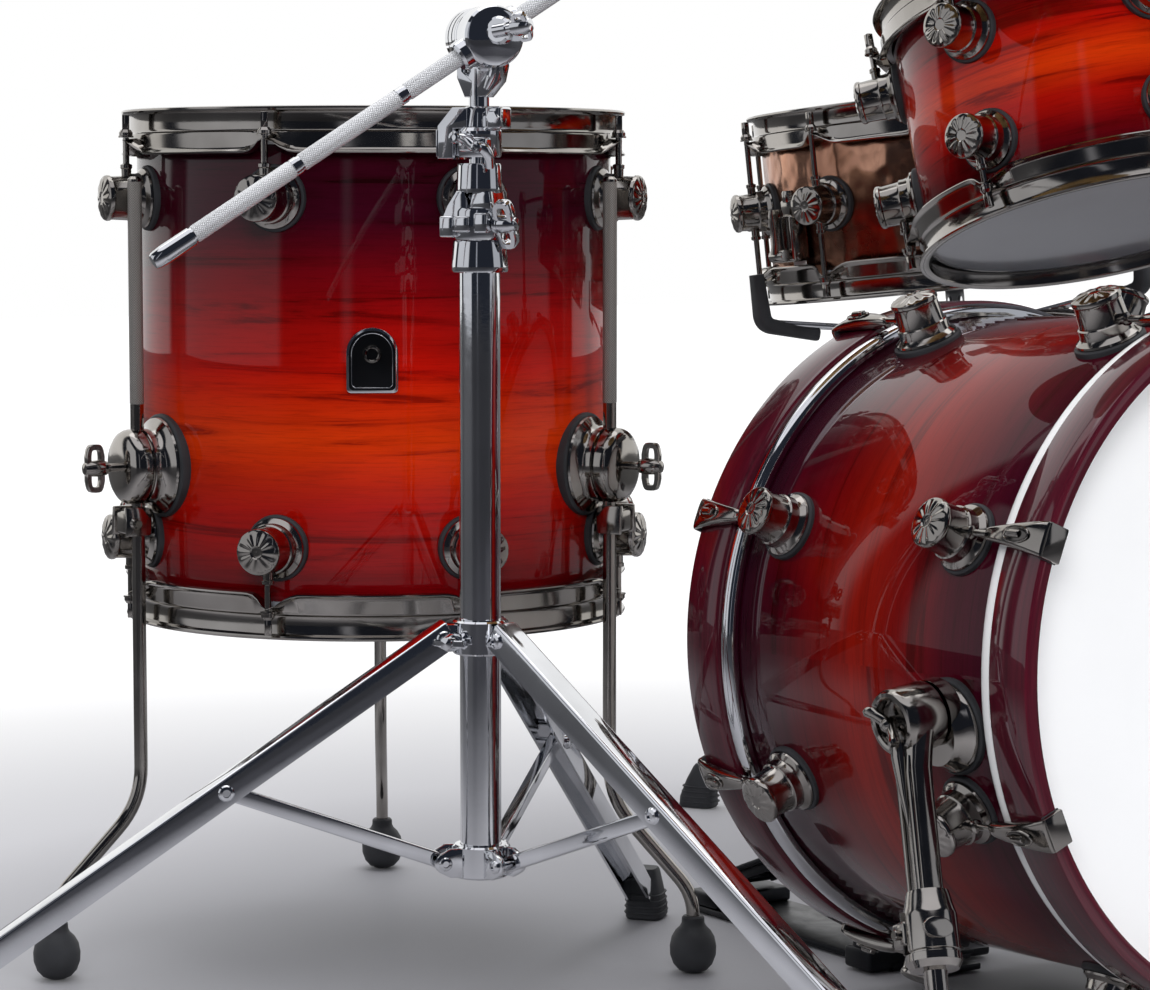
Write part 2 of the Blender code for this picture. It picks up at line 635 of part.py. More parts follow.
def tube_with_low_collar(name, stand, finish, outer, inner, low, top):
    """A tripod's tube, open down its middle, with the collar that its braces pivot on."""
    frame = empty(name + "_place", Matrix.Translation(KIT_ORIGIN + stand.place))
    points = ((inner, top), (outer, top), (outer, low), (inner, low))
    made = turned(name, finish, frame, points, sides=16)
    parts = []
    for angle in stand.angles:
        out = around(angle)
        z = Vector((0, 0, stand.low_z))
        start, end = out * (outer - 0.0008), out * (stand.pivot_out - 0.0078)
        parts.append(bar(z + start, z + end, 0.020, 0.022, (-out.y, out.x, 0)))
    combine(made, parts)
    return made


def boom_stand():
    stand = Tripod(
        "boom_stand", STAND_PLACE, STAND_LEGS, COLLAR_HIGH, COLLAR_LOW, COLLAR_OUT, STAND_SPREAD, FOLD_SLIDE
    )
    tripod(stand, STAND_TUBE, BOOM_RAIL)
    tube_with_low_collar(
        "boom_stand_tube", stand, "chrome", STAND_TUBE, STAND_TUBE_IN, STAND_TUBE_LOW, STAND_TUBE_TOP
    )
    place = KIT_ORIGIN + STAND_PLACE
    sections = (
        ("mid", CASTING_LOW, CASTING_MID, MID_TUBE, MID_TUBE_IN, STAND_TUBE_LOW + 0.030),
        ("top", CASTING_MID + GAP, CASTING_TOP, TOP_TUBE, None, STAND_TUBE_LOW + 0.040),
    )
    for name, low, high, radius, inside, bottom in sections:
        base = place + Vector((0, 0, low))
        slide = empty(f"joint_boom_stand_{name}_height", axes_frame(base, (1, 0, 0), (0, 0, 1)))
        made = boom_stand_section(name, slide, high - low, radius, inside, bottom - low)
        if name == "top":
            combine(made, yoke())
    boom()


def boom_stand_section(name, slide, tall, radius, inside, bottom):
    """One telescoping tube with the casting that rests on the tube below it."""
    outside = CASTING if name == "mid" else CASTING * 0.92
    if inside is None:
        points = ((0, tall), (outside, tall), (outside, 0), (radius, 0), (radius, bottom), (0, bottom))
        return turned(f"boom_stand_{name}_tube", "chrome", slide, points, closed=False, sides=16)
    points = ((inside, tall), (outside, tall), (outside, 0), (radius, 0), (radius, bottom), (inside, bottom))
    return turned(f"boom_stand_{name}_tube", "chrome", slide, points, sides=16)


def boom_direction():
    flat = Vector((math.cos(BOOM_AZIMUTH), -math.sin(BOOM_AZIMUTH), 0))
    return (flat * math.cos(BOOM_RISE) + Vector((0, 0, math.sin(BOOM_RISE)))).normalized()


def boom_sideways():
    return Vector((math.sin(BOOM_AZIMUTH), math.cos(BOOM_AZIMUTH), 0))


def yoke():
    """The upright of the tilter, on the top tube, beside which the ratchet turns."""
    rise = BOOM_PIVOT_Z - CASTING_MID - GAP
    side = boom_sideways()
    foot = Vector((0, 0, CASTING_TOP - CASTING_MID - 0.004))
    hub = Vector((0, 0, rise))
    post = bar(foot, hub + Vector((0, 0, 0.004)), 0.016, 0.020, side)
    wheel = cone(hub - side * 0.009, hub + side * 0.009, 0.021, sides=12)
    return [post, wheel]


def boom():
    """The ratchet that tilts the boom, the boom that slides in it, and the cymbal on its end."""
    side, along = boom_sideways(), boom_direction()
    pivot = KIT_ORIGIN + STAND_PLACE + Vector((0, 0, BOOM_PIVOT_Z))
    tilt = empty("joint_boom_tilt", axes_frame(pivot, (0, 0, 1), side))
    turn = tilt.matrix_world.to_3x3().inverted()
    local_along = turn @ along
    wheel = cone((0, 0, -0.0094), (0, 0, -0.038), 0.021, sides=12)
    grip_place = Vector((0, 0, -BOOM_OFFSET))
    grip = cone(grip_place - local_along * 0.022, grip_place + local_along * 0.022, 0.0125)
    hole = cone(grip_place - local_along * 0.05, grip_place + local_along * 0.05, BOOM_RADIUS + 2 * GAP)
    piece("boom_tilter", "chrome", tilt, [wheel, grip], [hole])
    middle = pivot - side * BOOM_OFFSET
    slide = empty("joint_boom_slide", axes_frame(middle, side, along))
    rod = cone((0, 0, -BOOM_BEHIND), (0, 0, BOOM_AHEAD), BOOM_RADIUS)
    up = slide.matrix_world.to_3x3().inverted() @ cymbal_axis()
    tip = Vector((0, 0, BOOM_AHEAD - 0.004))
    knuckle = cone(tip - up * 0.006, tip + up * 0.018, 0.011)
    stem = cone(tip + up * 0.010, tip + up * 0.075, 0.0040)
    piece("boom_rod", "chrome", slide, [rod, knuckle, stem])
    cymbal(middle + along * (BOOM_AHEAD - 0.004) + cymbal_axis() * 0.040)


def cymbal_axis():
    flat = Vector((math.cos(BOOM_AZIMUTH), -math.sin(BOOM_AZIMUTH), 0))
    up = Vector((0, 0, 1))
    return (up * math.cos(CYMBAL_LEAN) - flat.cross(up) * math.sin(CYMBAL_LEAN)).normalized()


def cymbal(place):
    """A thin bronze cymbal with a bell, which tips on its felts."""
    flat = Vector((math.cos(BOOM_AZIMUTH), -math.sin(BOOM_AZIMUTH), 0))
    hinge = empty("joint_cymbal_tip", axes_frame(place, cymbal_axis(), flat))
    frame = empty("cymbal_place", axes_frame(place, flat, cymbal_axis()), hinge)
    thick = 0.0014
    bell = CYMBAL_RADIUS * 0.27
    under = [
        (CYMBAL_HOLE, 0.0), (bell * 0.6, -0.004), (bell, -0.014), (CYMBAL_RADIUS, -0.032),
    ]
    over = [(x, z + thick) for x, z in under]
    turned("cymbal", "bronze", frame, over + under[::-1], sides=24)


# Snare drum, on its stand.


def snare_drum():
    axis = lean(SNARE_LEAN, SNARE_LEAN_TOWARDS)
    stand_top = KIT_ORIGIN + SNARE_BOTTOM - axis * BASKET_BELOW
    stand = Tripod(
        "snare_stand", stand_top - KIT_ORIGIN - Vector((0, 0, stand_top.z)), SNARE_STAND_LEGS,
        SNARE_COLLAR_Z, SNARE_LOW_Z, SNARE_PIVOT_OUT, SNARE_SPREAD, SNARE_FOLD,
    )
    tripod(stand, SNARE_TUBE, SNARE_RAIL)
    tube_with_low_collar(
        "snare_stand_tube", stand, "chrome", SNARE_TUBE, SNARE_TUBE_IN, SNARE_LOW_Z - 0.014, SNARE_TUBE_TOP
    )
    post_place = KIT_ORIGIN + stand.place + Vector((0, 0, SNARE_TUBE_TOP + GAP))
    slide = empty("joint_snare_stand_height", axes_frame(post_place, (1, 0, 0), (0, 0, 1)))
    head_z = stand_top.z - SNARE_TUBE_TOP - GAP
    parts = [
        cone((0, 0, SNARE_LOW_Z + 0.02 - SNARE_TUBE_TOP), (0, 0, head_z - 0.010), SNARE_POST),
        cone((0, 0, 0), (0, 0, 0.028), 0.0170),
    ]
    piece("snare_stand_post", "chrome", slide, parts)

    sideways = axis.cross(Vector((0, 0, 1))).normalized()
    tilt = empty("joint_snare_basket_tilt", axes_frame(stand_top, axis, sideways))
    centre = KIT_ORIGIN + SNARE_BOTTOM + axis * (SNARE_DEPTH / 2 + HOOP_ABOVE)
    frame = empty("snare_drum", axes_frame(centre, (1, 0, 0), axis), tilt)
    basket(frame)
    snare_wires(frame)
    angles = every(36, SNARE_LUG_START)
    drum_shell("snare_shell", "copper", frame, SNARE_RADIUS, SNARE_DEPTH, SNARE_WALL, angles, (0,))
    made = bpy.data.objects["snare_shell"]
    out = around(STRAINER_ANGLE)
    box_place = axes_frame(out * (SNARE_RADIUS + 0.010) + Vector((0, 0, STRAINER_Z)), out, (0, 0, 1))
    combine(made, [block((0, 0, 0), (0.024, 0.030, 0.044), box_place)])
    heads_and_hoops("snare", frame, SNARE_RADIUS, SNARE_DEPTH, angles, 0, "head_clear")
    strainer_lever(frame, out)


def basket(frame):
    """Three arms with upturned rubber tips round the snare drum's lower hoop."""
    low = -(SNARE_DEPTH / 2 + HOOP_ABOVE)
    hub = Vector((0, 0, low - BASKET_BELOW))
    parts = [cone(hub + Vector((0, 0, 0.003)), hub + Vector((0, 0, 0.030)), 0.024, 0.018)]
    for angle in BASKET_ARMS:
        out = around(angle)
        across = out.cross(Vector((0, 0, 1)))
        inner, elbow = hub + Vector((0, 0, 0.014)), Vector((0, 0, low - 0.016)) + out * BASKET_ARM_OUT
        tip_low, tip_high = elbow - Vector((0, 0, 0.010)), elbow + Vector((0, 0, 0.050))
        parts.append(bar(inner, elbow, 0.013, 0.010, across))
        parts.append(bar(tip_low, tip_high, 0.020, 0.014, across))
    piece("snare_basket", "chrome", frame, parts)


def strainer_lever(frame, out):
    """The throw-off lever, hinged low on the strainer and hanging against it."""
    hinge_at = frame.matrix_world @ (out * (SNARE_RADIUS + 0.0285) + Vector((0, 0, STRAINER_Z - 0.016)))
    turn = frame.matrix_world.to_3x3()
    across = turn @ out.cross(Vector((0, 0, 1)))
    hinge = empty("joint_snare_strainer", axes_frame(hinge_at, turn @ Vector((0, 0, 1)), across))
    pin, handle = cone((0, 0, -0.011), (0, 0, 0.011), 0.0055), block((0.022, 0, 0), (0.044, 0.007, 0.014))
    piece("snare_strainer_lever", "black_nickel", hinge, [pin, handle])


def snare_wires(frame):
    """The strip of snare wires and its end plates, lying under the lower head."""
    z = -(SNARE_DEPTH / 2 + GAP + HEAD_THICK + GAP + 0.0012)
    return piece("snare_wires", "steel", frame, [block((0, 0, z), (0.250, 0.042, 0.0024))])


# Bass pedal, clamped to the batter hoop.


def pedal():
    place = KIT_ORIGIN + Vector((0, PEDAL_Y, 0))
    frame = empty("bass_pedal", Matrix.Translation(place))
    base = [
        block((0, PEDAL_LENGTH / 2, 0.0035), (PEDAL_WIDE, PEDAL_LENGTH, 0.007)),
        block((0, 0.020, 0.010), (2 * PEDAL_POST_X + 0.018, 0.040, 0.020)),
        block((0, -0.016, 0.010), (0.050, 0.040, 0.017)),
        block((0, PEDAL_LENGTH - 0.022, 0.014), (PEDAL_WIDE, 0.044, 0.016)),
    ]
    for side in (1, -1):
        x = side * PEDAL_POST_X
        base.append(block((x, 0.020, PEDAL_AXLE_Z / 2 + 0.012), (0.014, 0.026, PEDAL_AXLE_Z - 0.010)))
    hole = cone((-0.1, 0.020, PEDAL_AXLE_Z), (0.1, 0.020, PEDAL_AXLE_Z), AXLE_RADIUS + 2 * GAP)
    piece("pedal_base", "black_metal", frame, base, [hole])

    heel_at = place + Vector((0, PEDAL_HEEL, 0.030))
    heel = empty("joint_pedal_footboard", axes_frame(heel_at, (0, -1, 0), (-1, 0, 0)))
    toe = Vector((PEDAL_HEEL - 0.052, 0.085, 0))
    board = bar((0, 0, 0), toe, 0.012, 0.070, (-toe.y, toe.x, 0))
    pin = cone((0, 0, -0.036), (0, 0, 0.036), 0.006)
    piece("pedal_footboard", "black_metal", heel, [board, pin])

    axle_at = place + Vector((0, 0.020, PEDAL_AXLE_Z))
    axle = empty("joint_pedal_beater", axes_frame(axle_at, (0, -1, 0), (-1, 0, 0)))
    swing = Vector((-math.sin(BEATER_BACK), math.cos(BEATER_BACK), 0))
    felt = swing * BEATER_REACH
    parts = [
        cone((0, 0, -0.062), (0, 0, 0.062), AXLE_RADIUS),
        cone((0, 0, -0.008), (0, 0, 0.008), 0.024, sides=12),
        cone(swing * 0.012, felt, 0.0035),
        cone(felt - Vector((0.020, 0, 0)), felt + Vector((0.024, 0, 0)), 0.023, 0.021),
    ]
    piece("pedal_beater", "black_metal", axle, parts)


bass_drum()
rack_tom()
floor_tom()
boom_stand()
snare_drum()
pedal()
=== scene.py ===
"""Looks for the acoustic drum kit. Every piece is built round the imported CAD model, in metres."""

import json
import math

import bmesh
import bpy
from mathutils import Matrix, Vector


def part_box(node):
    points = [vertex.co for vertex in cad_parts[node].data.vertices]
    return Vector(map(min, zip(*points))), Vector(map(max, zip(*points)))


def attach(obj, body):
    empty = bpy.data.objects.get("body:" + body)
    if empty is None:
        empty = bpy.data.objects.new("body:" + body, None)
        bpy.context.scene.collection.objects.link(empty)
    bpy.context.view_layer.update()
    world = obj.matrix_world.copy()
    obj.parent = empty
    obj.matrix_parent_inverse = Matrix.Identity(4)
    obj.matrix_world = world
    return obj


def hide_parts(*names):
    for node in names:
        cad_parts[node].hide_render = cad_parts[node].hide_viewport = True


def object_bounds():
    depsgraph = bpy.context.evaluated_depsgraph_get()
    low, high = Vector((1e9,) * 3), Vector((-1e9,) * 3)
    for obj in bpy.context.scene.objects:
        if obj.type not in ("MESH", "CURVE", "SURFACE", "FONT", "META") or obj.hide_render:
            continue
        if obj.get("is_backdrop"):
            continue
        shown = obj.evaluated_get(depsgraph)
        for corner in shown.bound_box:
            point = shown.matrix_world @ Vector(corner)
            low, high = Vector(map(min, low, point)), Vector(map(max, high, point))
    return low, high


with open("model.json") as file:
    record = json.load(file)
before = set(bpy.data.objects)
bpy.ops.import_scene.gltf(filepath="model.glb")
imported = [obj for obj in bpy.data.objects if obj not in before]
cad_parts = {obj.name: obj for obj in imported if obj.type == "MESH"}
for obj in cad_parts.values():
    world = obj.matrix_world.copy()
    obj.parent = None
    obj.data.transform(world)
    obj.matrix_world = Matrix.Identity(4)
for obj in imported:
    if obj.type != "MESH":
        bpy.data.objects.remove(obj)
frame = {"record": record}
CAD_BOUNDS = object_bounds()

INCH = 0.0254
TAU = 2 * math.pi
UP = Vector((0, 0, 1))
SWAP_XZ = Matrix(((0, 0, 1, 0), (0, 1, 0, 0), (1, 0, 0, 0), (0, 0, 0, 1)))

# Drum shells: radius and depth.
BASS, FLOOR, RACK, SNARE = (
    10 * INCH, 14 * INCH
), (8 * INCH, 16 * INCH), (6 * INCH, 8 * INCH), (7 * INCH, 6.5 * INCH)
HOOP_ABOVE = 0.0125  # steel hoop's lip above the bearing edge
ROD_CIRCLE = 0.0193  # tension rods' distance from the shell
LEGS = (1, 2, 3)


# Frames and places, read from the CAD model.

JOINTS = {made["name"]: made for made in frame["record"]["behaviour"]["joints"]}


def pivot(name):
    return Vector(JOINTS[name]["pos_m"])


def axis_of(name):
    return Vector(JOINTS[name]["axis"])


def middle(node):
    low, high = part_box(node)
    return (low + high) / 2


def exact_frame(place, x, y, z):
    return Matrix.Translation(place) @ Matrix((x, y, z)).transposed().to_4x4()


def axes_frame(place, x_axis, z_axis):
    """A frame with its Z along z_axis, and its X as near to x_axis as it can be."""
    z = Vector(z_axis).normalized()
    y = z.cross(Vector(x_axis)).normalized()
    return exact_frame(place, y.cross(z), y, z)


def shift(x, y, z):
    return Matrix.Translation((x, y, z))


def spin(degrees, axis):
    return Matrix.Rotation(math.radians(degrees), 4, axis)


def mm(*points):
    """Points given in millimetres."""
    return [tuple(value / 1000 for value in point) for point in points]


def moved(out, up, *points):
    """Profile points given in millimetres from (out, up), which is in metres."""
    return [(out + x, up + z) for x, z in mm(*points)]


def socket_tube(radius, low, top, bore, deep):
    """The profile of a closed tube with a bore in its upper end."""
    skin = [(0, low + 0.001), (radius - 0.002, low), (radius, low + 0.001), (radius, top)]
    return skin + [(bore, top), (bore, top - deep), (0, top - deep)]


def pin(radius, low, high):
    """The profile of a plain cylinder."""
    return [(0, low), (radius, low), (radius, high), (0, high)]


def drum_place(batter, lower, x_axis):
    """A drum's frame from its two heads: Z along its axis, towards the batter head."""
    top, bottom = middle(batter), middle(lower)
    return axes_frame((top + bottom) / 2, x_axis, top - bottom)


def around(degrees):
    return Vector((math.sin(math.radians(degrees)), -math.cos(math.radians(degrees)), 0))


def every(step, start=0.0):
    return [start + step * k for k in range(round(360 / step))]


# Mesh building. Every mesh has a UV map in metres, named "metres".


class Form:
    """Gathers turned, swept and boxed shapes into one mesh."""

    def __init__(self):
        self.bm = bmesh.new()
        self.uv = self.bm.loops.layers.uv.new("metres")
        self.mat = 0

    def grid(self, rows, wrap_u=True, wrap_v=False, cap=False, us=None, vs=None):
        """Faces between rows of points. rows[v][u]; u wraps round, and v may."""
        verts = [[self.bm.verts.new(p) for p in row] for row in rows]
        nv, nu = len(rows), len(rows[0])
        for j in range(nv if wrap_v else nv - 1):
            a, b = verts[j], verts[(j + 1) % nv]
            va, vb = (vs[j], vs[j + 1]) if vs else (j * 0.01, (j + 1) * 0.01)
            for i in range(nu if wrap_u else nu - 1):
                k = (i + 1) % nu
                face = self.bm.faces.new((a[i], a[k], b[k], b[i]))
                face.material_index = self.mat
                ua, ub = (us[i], us[i + 1]) if us else (i * 0.01, (i + 1) * 0.01)
                for loop, uv in zip(face.loops, ((ua, va), (ub, va), (ub, vb), (ua, vb))):
                    loop[self.uv].uv = uv
        if cap:
            for row, turned in ((verts[0], True), (verts[-1], False)):
                face = self.bm.faces.new(row[::-1] if turned else row)
                face.material_index = self.mat
        return verts

    def lathe(self, profile, sides=48, place=Matrix.Identity(4), vary=None, closed=False):
        """Turns (radius, height) points round Z, up the outer side. Points at radius 0 close the end."""
        points = [(max(r, 1e-6), z) for r, z in profile]
        rows, vs, along = [], [0.0], 0.0
        big = max(r for r, _ in points)
        for r, z in points:
            row = []
            for i in range(sides):
                t = TAU * i / sides
                rr, zz = vary(t, r, z) if vary else (r, z)
                row.append(place @ Vector((rr * math.cos(t), rr * math.sin(t), zz)))
            rows.append(row)
        ring = points + ([points[0]] if closed else [])
        for (r0, z0), (r1, z1) in zip(ring, ring[1:]):
            along += math.hypot(r1 - r0, z1 - z0)
            vs.append(along)
        us = [TAU * big * i / sides for i in range(sides + 1)]
        self.grid(rows, wrap_v=closed, us=us, vs=vs)
        return self

    def sweep(self, path, radius, sides=16, place=Matrix.Identity(4), shape=None):
        """A tube along a path of points; radius may be a list. shape(angle) scales the section."""
        path = [place @ Vector(p) for p in path]
        radii = radius if isinstance(radius, (list, tuple)) else [radius] * len(path)
        tangents = []
        for i in range(len(path)):
            a, b = path[max(i - 1, 0)], path[min(i + 1, len(path) - 1)]
            tangents.append((b - a).normalized())
        side = tangents[0].orthogonal().normalized()
        rows, vs, along = [], [], 0.0
        for i, (p, t, r) in enumerate(zip(path, tangents, radii)):
            side = (side - t * side.dot(t)).normalized()
            up = t.cross(side)
            if i:
                along += (p - path[i - 1]).length
            vs.append(along)
            row = []
            for k in range(sides):
                a = TAU * k / sides
                s = shape(a) if shape else 1.0
                row.append(p + (side * math.cos(a) + up * math.sin(a)) * r * s)
            rows.append(row)
        big = max(radii)
        self.grid(rows, cap=True, us=[TAU * big * k / sides for k in range(sides + 1)], vs=vs)
        return self

    def rod(self, start, end, radius, sides=20, edge=0.0006, place=Matrix.Identity(4)):
        """A round bar with eased ends."""
        start, end = Vector(start), Vector(end)
        along = (end - start).normalized()
        e = min(edge, radius * 0.4, (end - start).length * 0.3)
        path = [start, start + along * e, end - along * e, end]
        radii = [radius - e, radius, radius, radius - e]
        return self.sweep(path, radii, sides, place)

    def block(self, size, place=Matrix.Identity(4), edge=0.001, steps=2):
        """A box with rounded edges."""
        made = bmesh.new()
        bmesh.ops.create_cube(made, size=1.0, matrix=Matrix.Diagonal((*size, 1)))
        if edge:
            bmesh.ops.bevel(
                made, geom=made.edges[:] + made.verts[:], offset=edge, segments=steps, affect="EDGES",
                profile=0.5
            )
        return self.add(made, place)

    def slab(self, outline, thick, place=Matrix.Identity(4), edge=0.001, steps=2):
        """A flat plate of that outline in XY, thick along Z, with rounded edges."""
        made = bmesh.new()
        low = [made.verts.new((x, y, -thick / 2)) for x, y in outline]
        face = made.faces.new(low)
        moved = bmesh.ops.extrude_face_region(made, geom=[face])
        bmesh.ops.translate(
            made, verts=[v for v in moved["geom"] if isinstance(v, bmesh.types.BMVert)],
            vec=(0, 0, thick)
        )
        bmesh.ops.recalc_face_normals(made, faces=made.faces[:])
        if edge:
            rim = [e for e in made.edges if len({round(f.normal.z) for f in e.link_faces}) > 1]
            bmesh.ops.bevel(made, geom=rim, offset=edge, segments=steps, affect="EDGES", profile=0.5)
        return self.add(made, place)

    def add(self, other, place=Matrix.Identity(4)):
        """Joins another bmesh, placed by a matrix, with box-mapped UVs in metres."""
        other.verts.index_update()
        made = [self.bm.verts.new(place @ v.co) for v in other.verts]
        for f in other.faces:
            face = self.bm.faces.new([made[v.index] for v in f.verts])
            face.material_index = self.mat
            n = f.normal
            drop = max(range(3), key=lambda k: abs(n[k]))
            keep = [k for k in range(3) if k != drop]
            for loop, v in zip(face.loops, f.verts):
                loop[self.uv].uv = (v.co[keep[0]], v.co[keep[1]])
        other.free()
        return self

    def piece(
        self, name, materials, body, place=Matrix.Identity(4), replaced=(), sharp=35,
        slot="black_nickel"
    ):
        """Ends the mesh as a piece that rides on a body and stands for the replaced CAD nodes."""
        bmesh.ops.recalc_face_normals(self.bm, faces=self.bm.faces[:])
        mesh = bpy.data.meshes.new(name)
        self.bm.to_mesh(mesh)
        self.bm.free()
        for made in materials if isinstance(materials, (list, tuple)) else [materials]:
            mesh.materials.append(made)
        mesh.shade_smooth()
        mesh.set_sharp_from_angle(angle=math.radians(sharp))
        obj = bpy.data.objects.new(name, mesh)
        bpy.context.scene.collection.objects.link(obj)
        obj.matrix_world = place
        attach(obj, body)
        if replaced:
            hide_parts(*replaced)

    def stand_in(self, name, materials, node, place=Matrix.Identity(4), **more):
        """Ends the mesh as a piece that rides on the body of a CAD node and stands for that node."""
        self.piece(name, materials, node, place, [node], **more)


def arc(centre, radius, start, end, steps):
    """Points round a centre, angles in degrees."""
    made = []
    for k in range(steps + 1):
        a = math.radians(start + (end - start) * k / steps)
        made.append((centre[0] + radius * math.cos(a), centre[1] + radius * math.sin(a)))
    return made


def rounded(points, radius, steps=5):
    """A path with its inner corners rounded."""
    points = [Vector(p) for p in points]
    made = [points[0]]
    for a, b, c in zip(points, points[1:], points[2:]):
        cut = min(radius, (a - b).length * 0.45, (c - b).length * 0.45)
        start, end = b + (a - b).normalized() * cut, b + (c - b).normalized() * cut
        for k in range(steps + 1):
            t = k / steps
            made.append(start.lerp(b, t).lerp(b.lerp(end, t), t))
    made.append(points[-1])
    return made


def oval(wide, high, steps=32, power=2.0):
    """An ellipse, or with a higher power a rounded rectangle."""

    def side(value, size):
        return size / 2 * math.copysign(abs(value) ** (2 / power), value)

    turns = [TAU * k / steps for k in range(steps)]
    return [(side(math.cos(a), wide), side(math.sin(a), high)) for a in turns]


# Materials.


class Graph:
    """Makes and joins the nodes of one node tree."""

    def __init__(self, tree):
        self.nodes, self.links = tree.nodes, tree.links

    def node(self, kind, **values):
        made = self.nodes.new("ShaderNode" + kind)
        for key, value in values.items():
            if isinstance(value, bpy.types.NodeSocket):
                self.links.new(value, made.inputs[key.replace("_", " ")])
            elif key in made.inputs or key.replace("_", " ") in made.inputs:
                made.inputs[key.replace("_", " ")].default_value = value
            else:
                setattr(made, key, value)
        return made

    def uv(self):
        return self.node("UVMap", uv_map="metres").outputs[0]

    def own(self):
        """Coordinates in the object's own frame, in metres."""
        return self.node("TexCoord").outputs["Object"]

    def stretch(self, vector, x, y):
        return self.node("Mapping", Vector=vector, Scale=(x, y, 1.0)).outputs[0]

    def noise(self, vector, scale=1.0, detail=4.0, rough=0.5, distort=0.0):
        made = self.node(
            "TexNoise", Vector=vector, Scale=scale, Detail=detail, Roughness=rough, Distortion=distort
        )
        return made.outputs["Fac"]

    def ramp(self, value, stops, mode="LINEAR"):
        made = self.node("ValToRGB", Fac=value)
        made.color_ramp.interpolation = mode
        while len(made.color_ramp.elements) < len(stops):
            made.color_ramp.elements.new(0.5)
        for element, (place, colour) in zip(made.color_ramp.elements, stops):
            element.position = place
            element.color = (*colour, 1) if isinstance(colour, tuple) else (colour, colour, colour, 1)
        return made.outputs["Color"]

    def math(self, operation, a, b=None, c=None):
        made = self.nodes.new("ShaderNodeMath")
        made.operation = operation
        for socket, value in zip(made.inputs, (a, b, c)):
            if isinstance(value, bpy.types.NodeSocket):
                self.links.new(value, socket)
            elif value is not None:
                socket.default_value = value
        return made.outputs[0]

    def mix(self, factor, a, b, blend="MIX"):
        made = self.nodes.new("ShaderNodeMix")
        made.data_type = "RGBA"
        made.blend_type = blend
        for socket, value in ((made.inputs[0], factor), (made.inputs[6], a), (made.inputs[7], b)):
            if isinstance(value, bpy.types.NodeSocket):
                self.links.new(value, socket)
            else:
                socket.default_value = (*value, 1) if isinstance(value, tuple) else value
        return made.outputs[2]


class Look(Graph):
    """A Principled material and its nodes."""

    def __init__(self, name, colour, metallic=0.0, roughness=0.4, **more):
        self.mat = bpy.data.materials.new(name)
        self.mat.use_nodes = True
        super().__init__(self.mat.node_tree)
        self.bsdf = self.nodes["Principled BSDF"]
        values = {"Base Color": (*colour, 1), "Metallic": metallic, "Roughness": roughness}
        values.update({key.replace("_", " "): value for key, value in more.items()})
        for key, value in values.items():
            self.bsdf.inputs[key].default_value = value

    def set(self, name, value):
        self.links.new(value, self.bsdf.inputs[name])
        return self

    def bump(self, height, distance, strength=1.0, coat=False):
        made = self.node("Bump", Height=height, Strength=strength, Distance=distance)
        self.links.new(made.outputs[0], self.bsdf.inputs["Normal"])
        if coat:
            self.links.new(made.outputs[0], self.bsdf.inputs["Coat Normal"])
        return self


def shaded(colour, share):
    return tuple(value * share for value in colour)


def metal(name, colour, roughness, smudge=0.06, tint=None, bump=0.00001):
    """Plated metal: a fine haze of handling marks in its roughness, and a slight waviness."""
    look = Look(name, colour, metallic=1.0, roughness=roughness)
    place = look.own()
    marks = look.noise(place, 45.0, 5.0, 0.62, 0.6)
    look.set(
        "Roughness",
        look.ramp(marks, ((0.3, max(roughness - smudge * 0.4, 0.02)), (0.75, roughness + smudge)))
    )
    dark = tint or shaded(colour, 0.86)
    look.set("Base Color", look.ramp(look.noise(place, 14.0, 3.0), ((0.35, dark), (0.65, colour))))
    if bump:
        look.bump(look.noise(place, 220.0, 3.0), bump)
    return look.mat


def knurled(name, colour, roughness, pitch=0.0021):
    """Crossed spiral cuts round a rod, on UVs in metres."""
    look = Look(name, colour, metallic=0.55, roughness=roughness)
    uv = look.uv()
    parts = look.node("SeparateXYZ", Vector=uv)
    x, y = parts.outputs[0], parts.outputs[1]
    waves = []
    for sign in (1, -1):
        slope = look.math("MULTIPLY_ADD", x, float(sign), y)
        waves.append(
            look.math("ABSOLUTE", look.math("SINE", look.math("MULTIPLY", slope, math.pi / pitch)))
        )
    height = look.math("MINIMUM", waves[0], waves[1])
    # The bottoms of the cuts are painted darker: painted shade in the grooves.
    look.set("Base Color", look.ramp(height, ((0.0, shaded(colour, 0.35)), (0.45, colour))))
    look.bump(height, 0.0004, 0.9)
    return look.mat


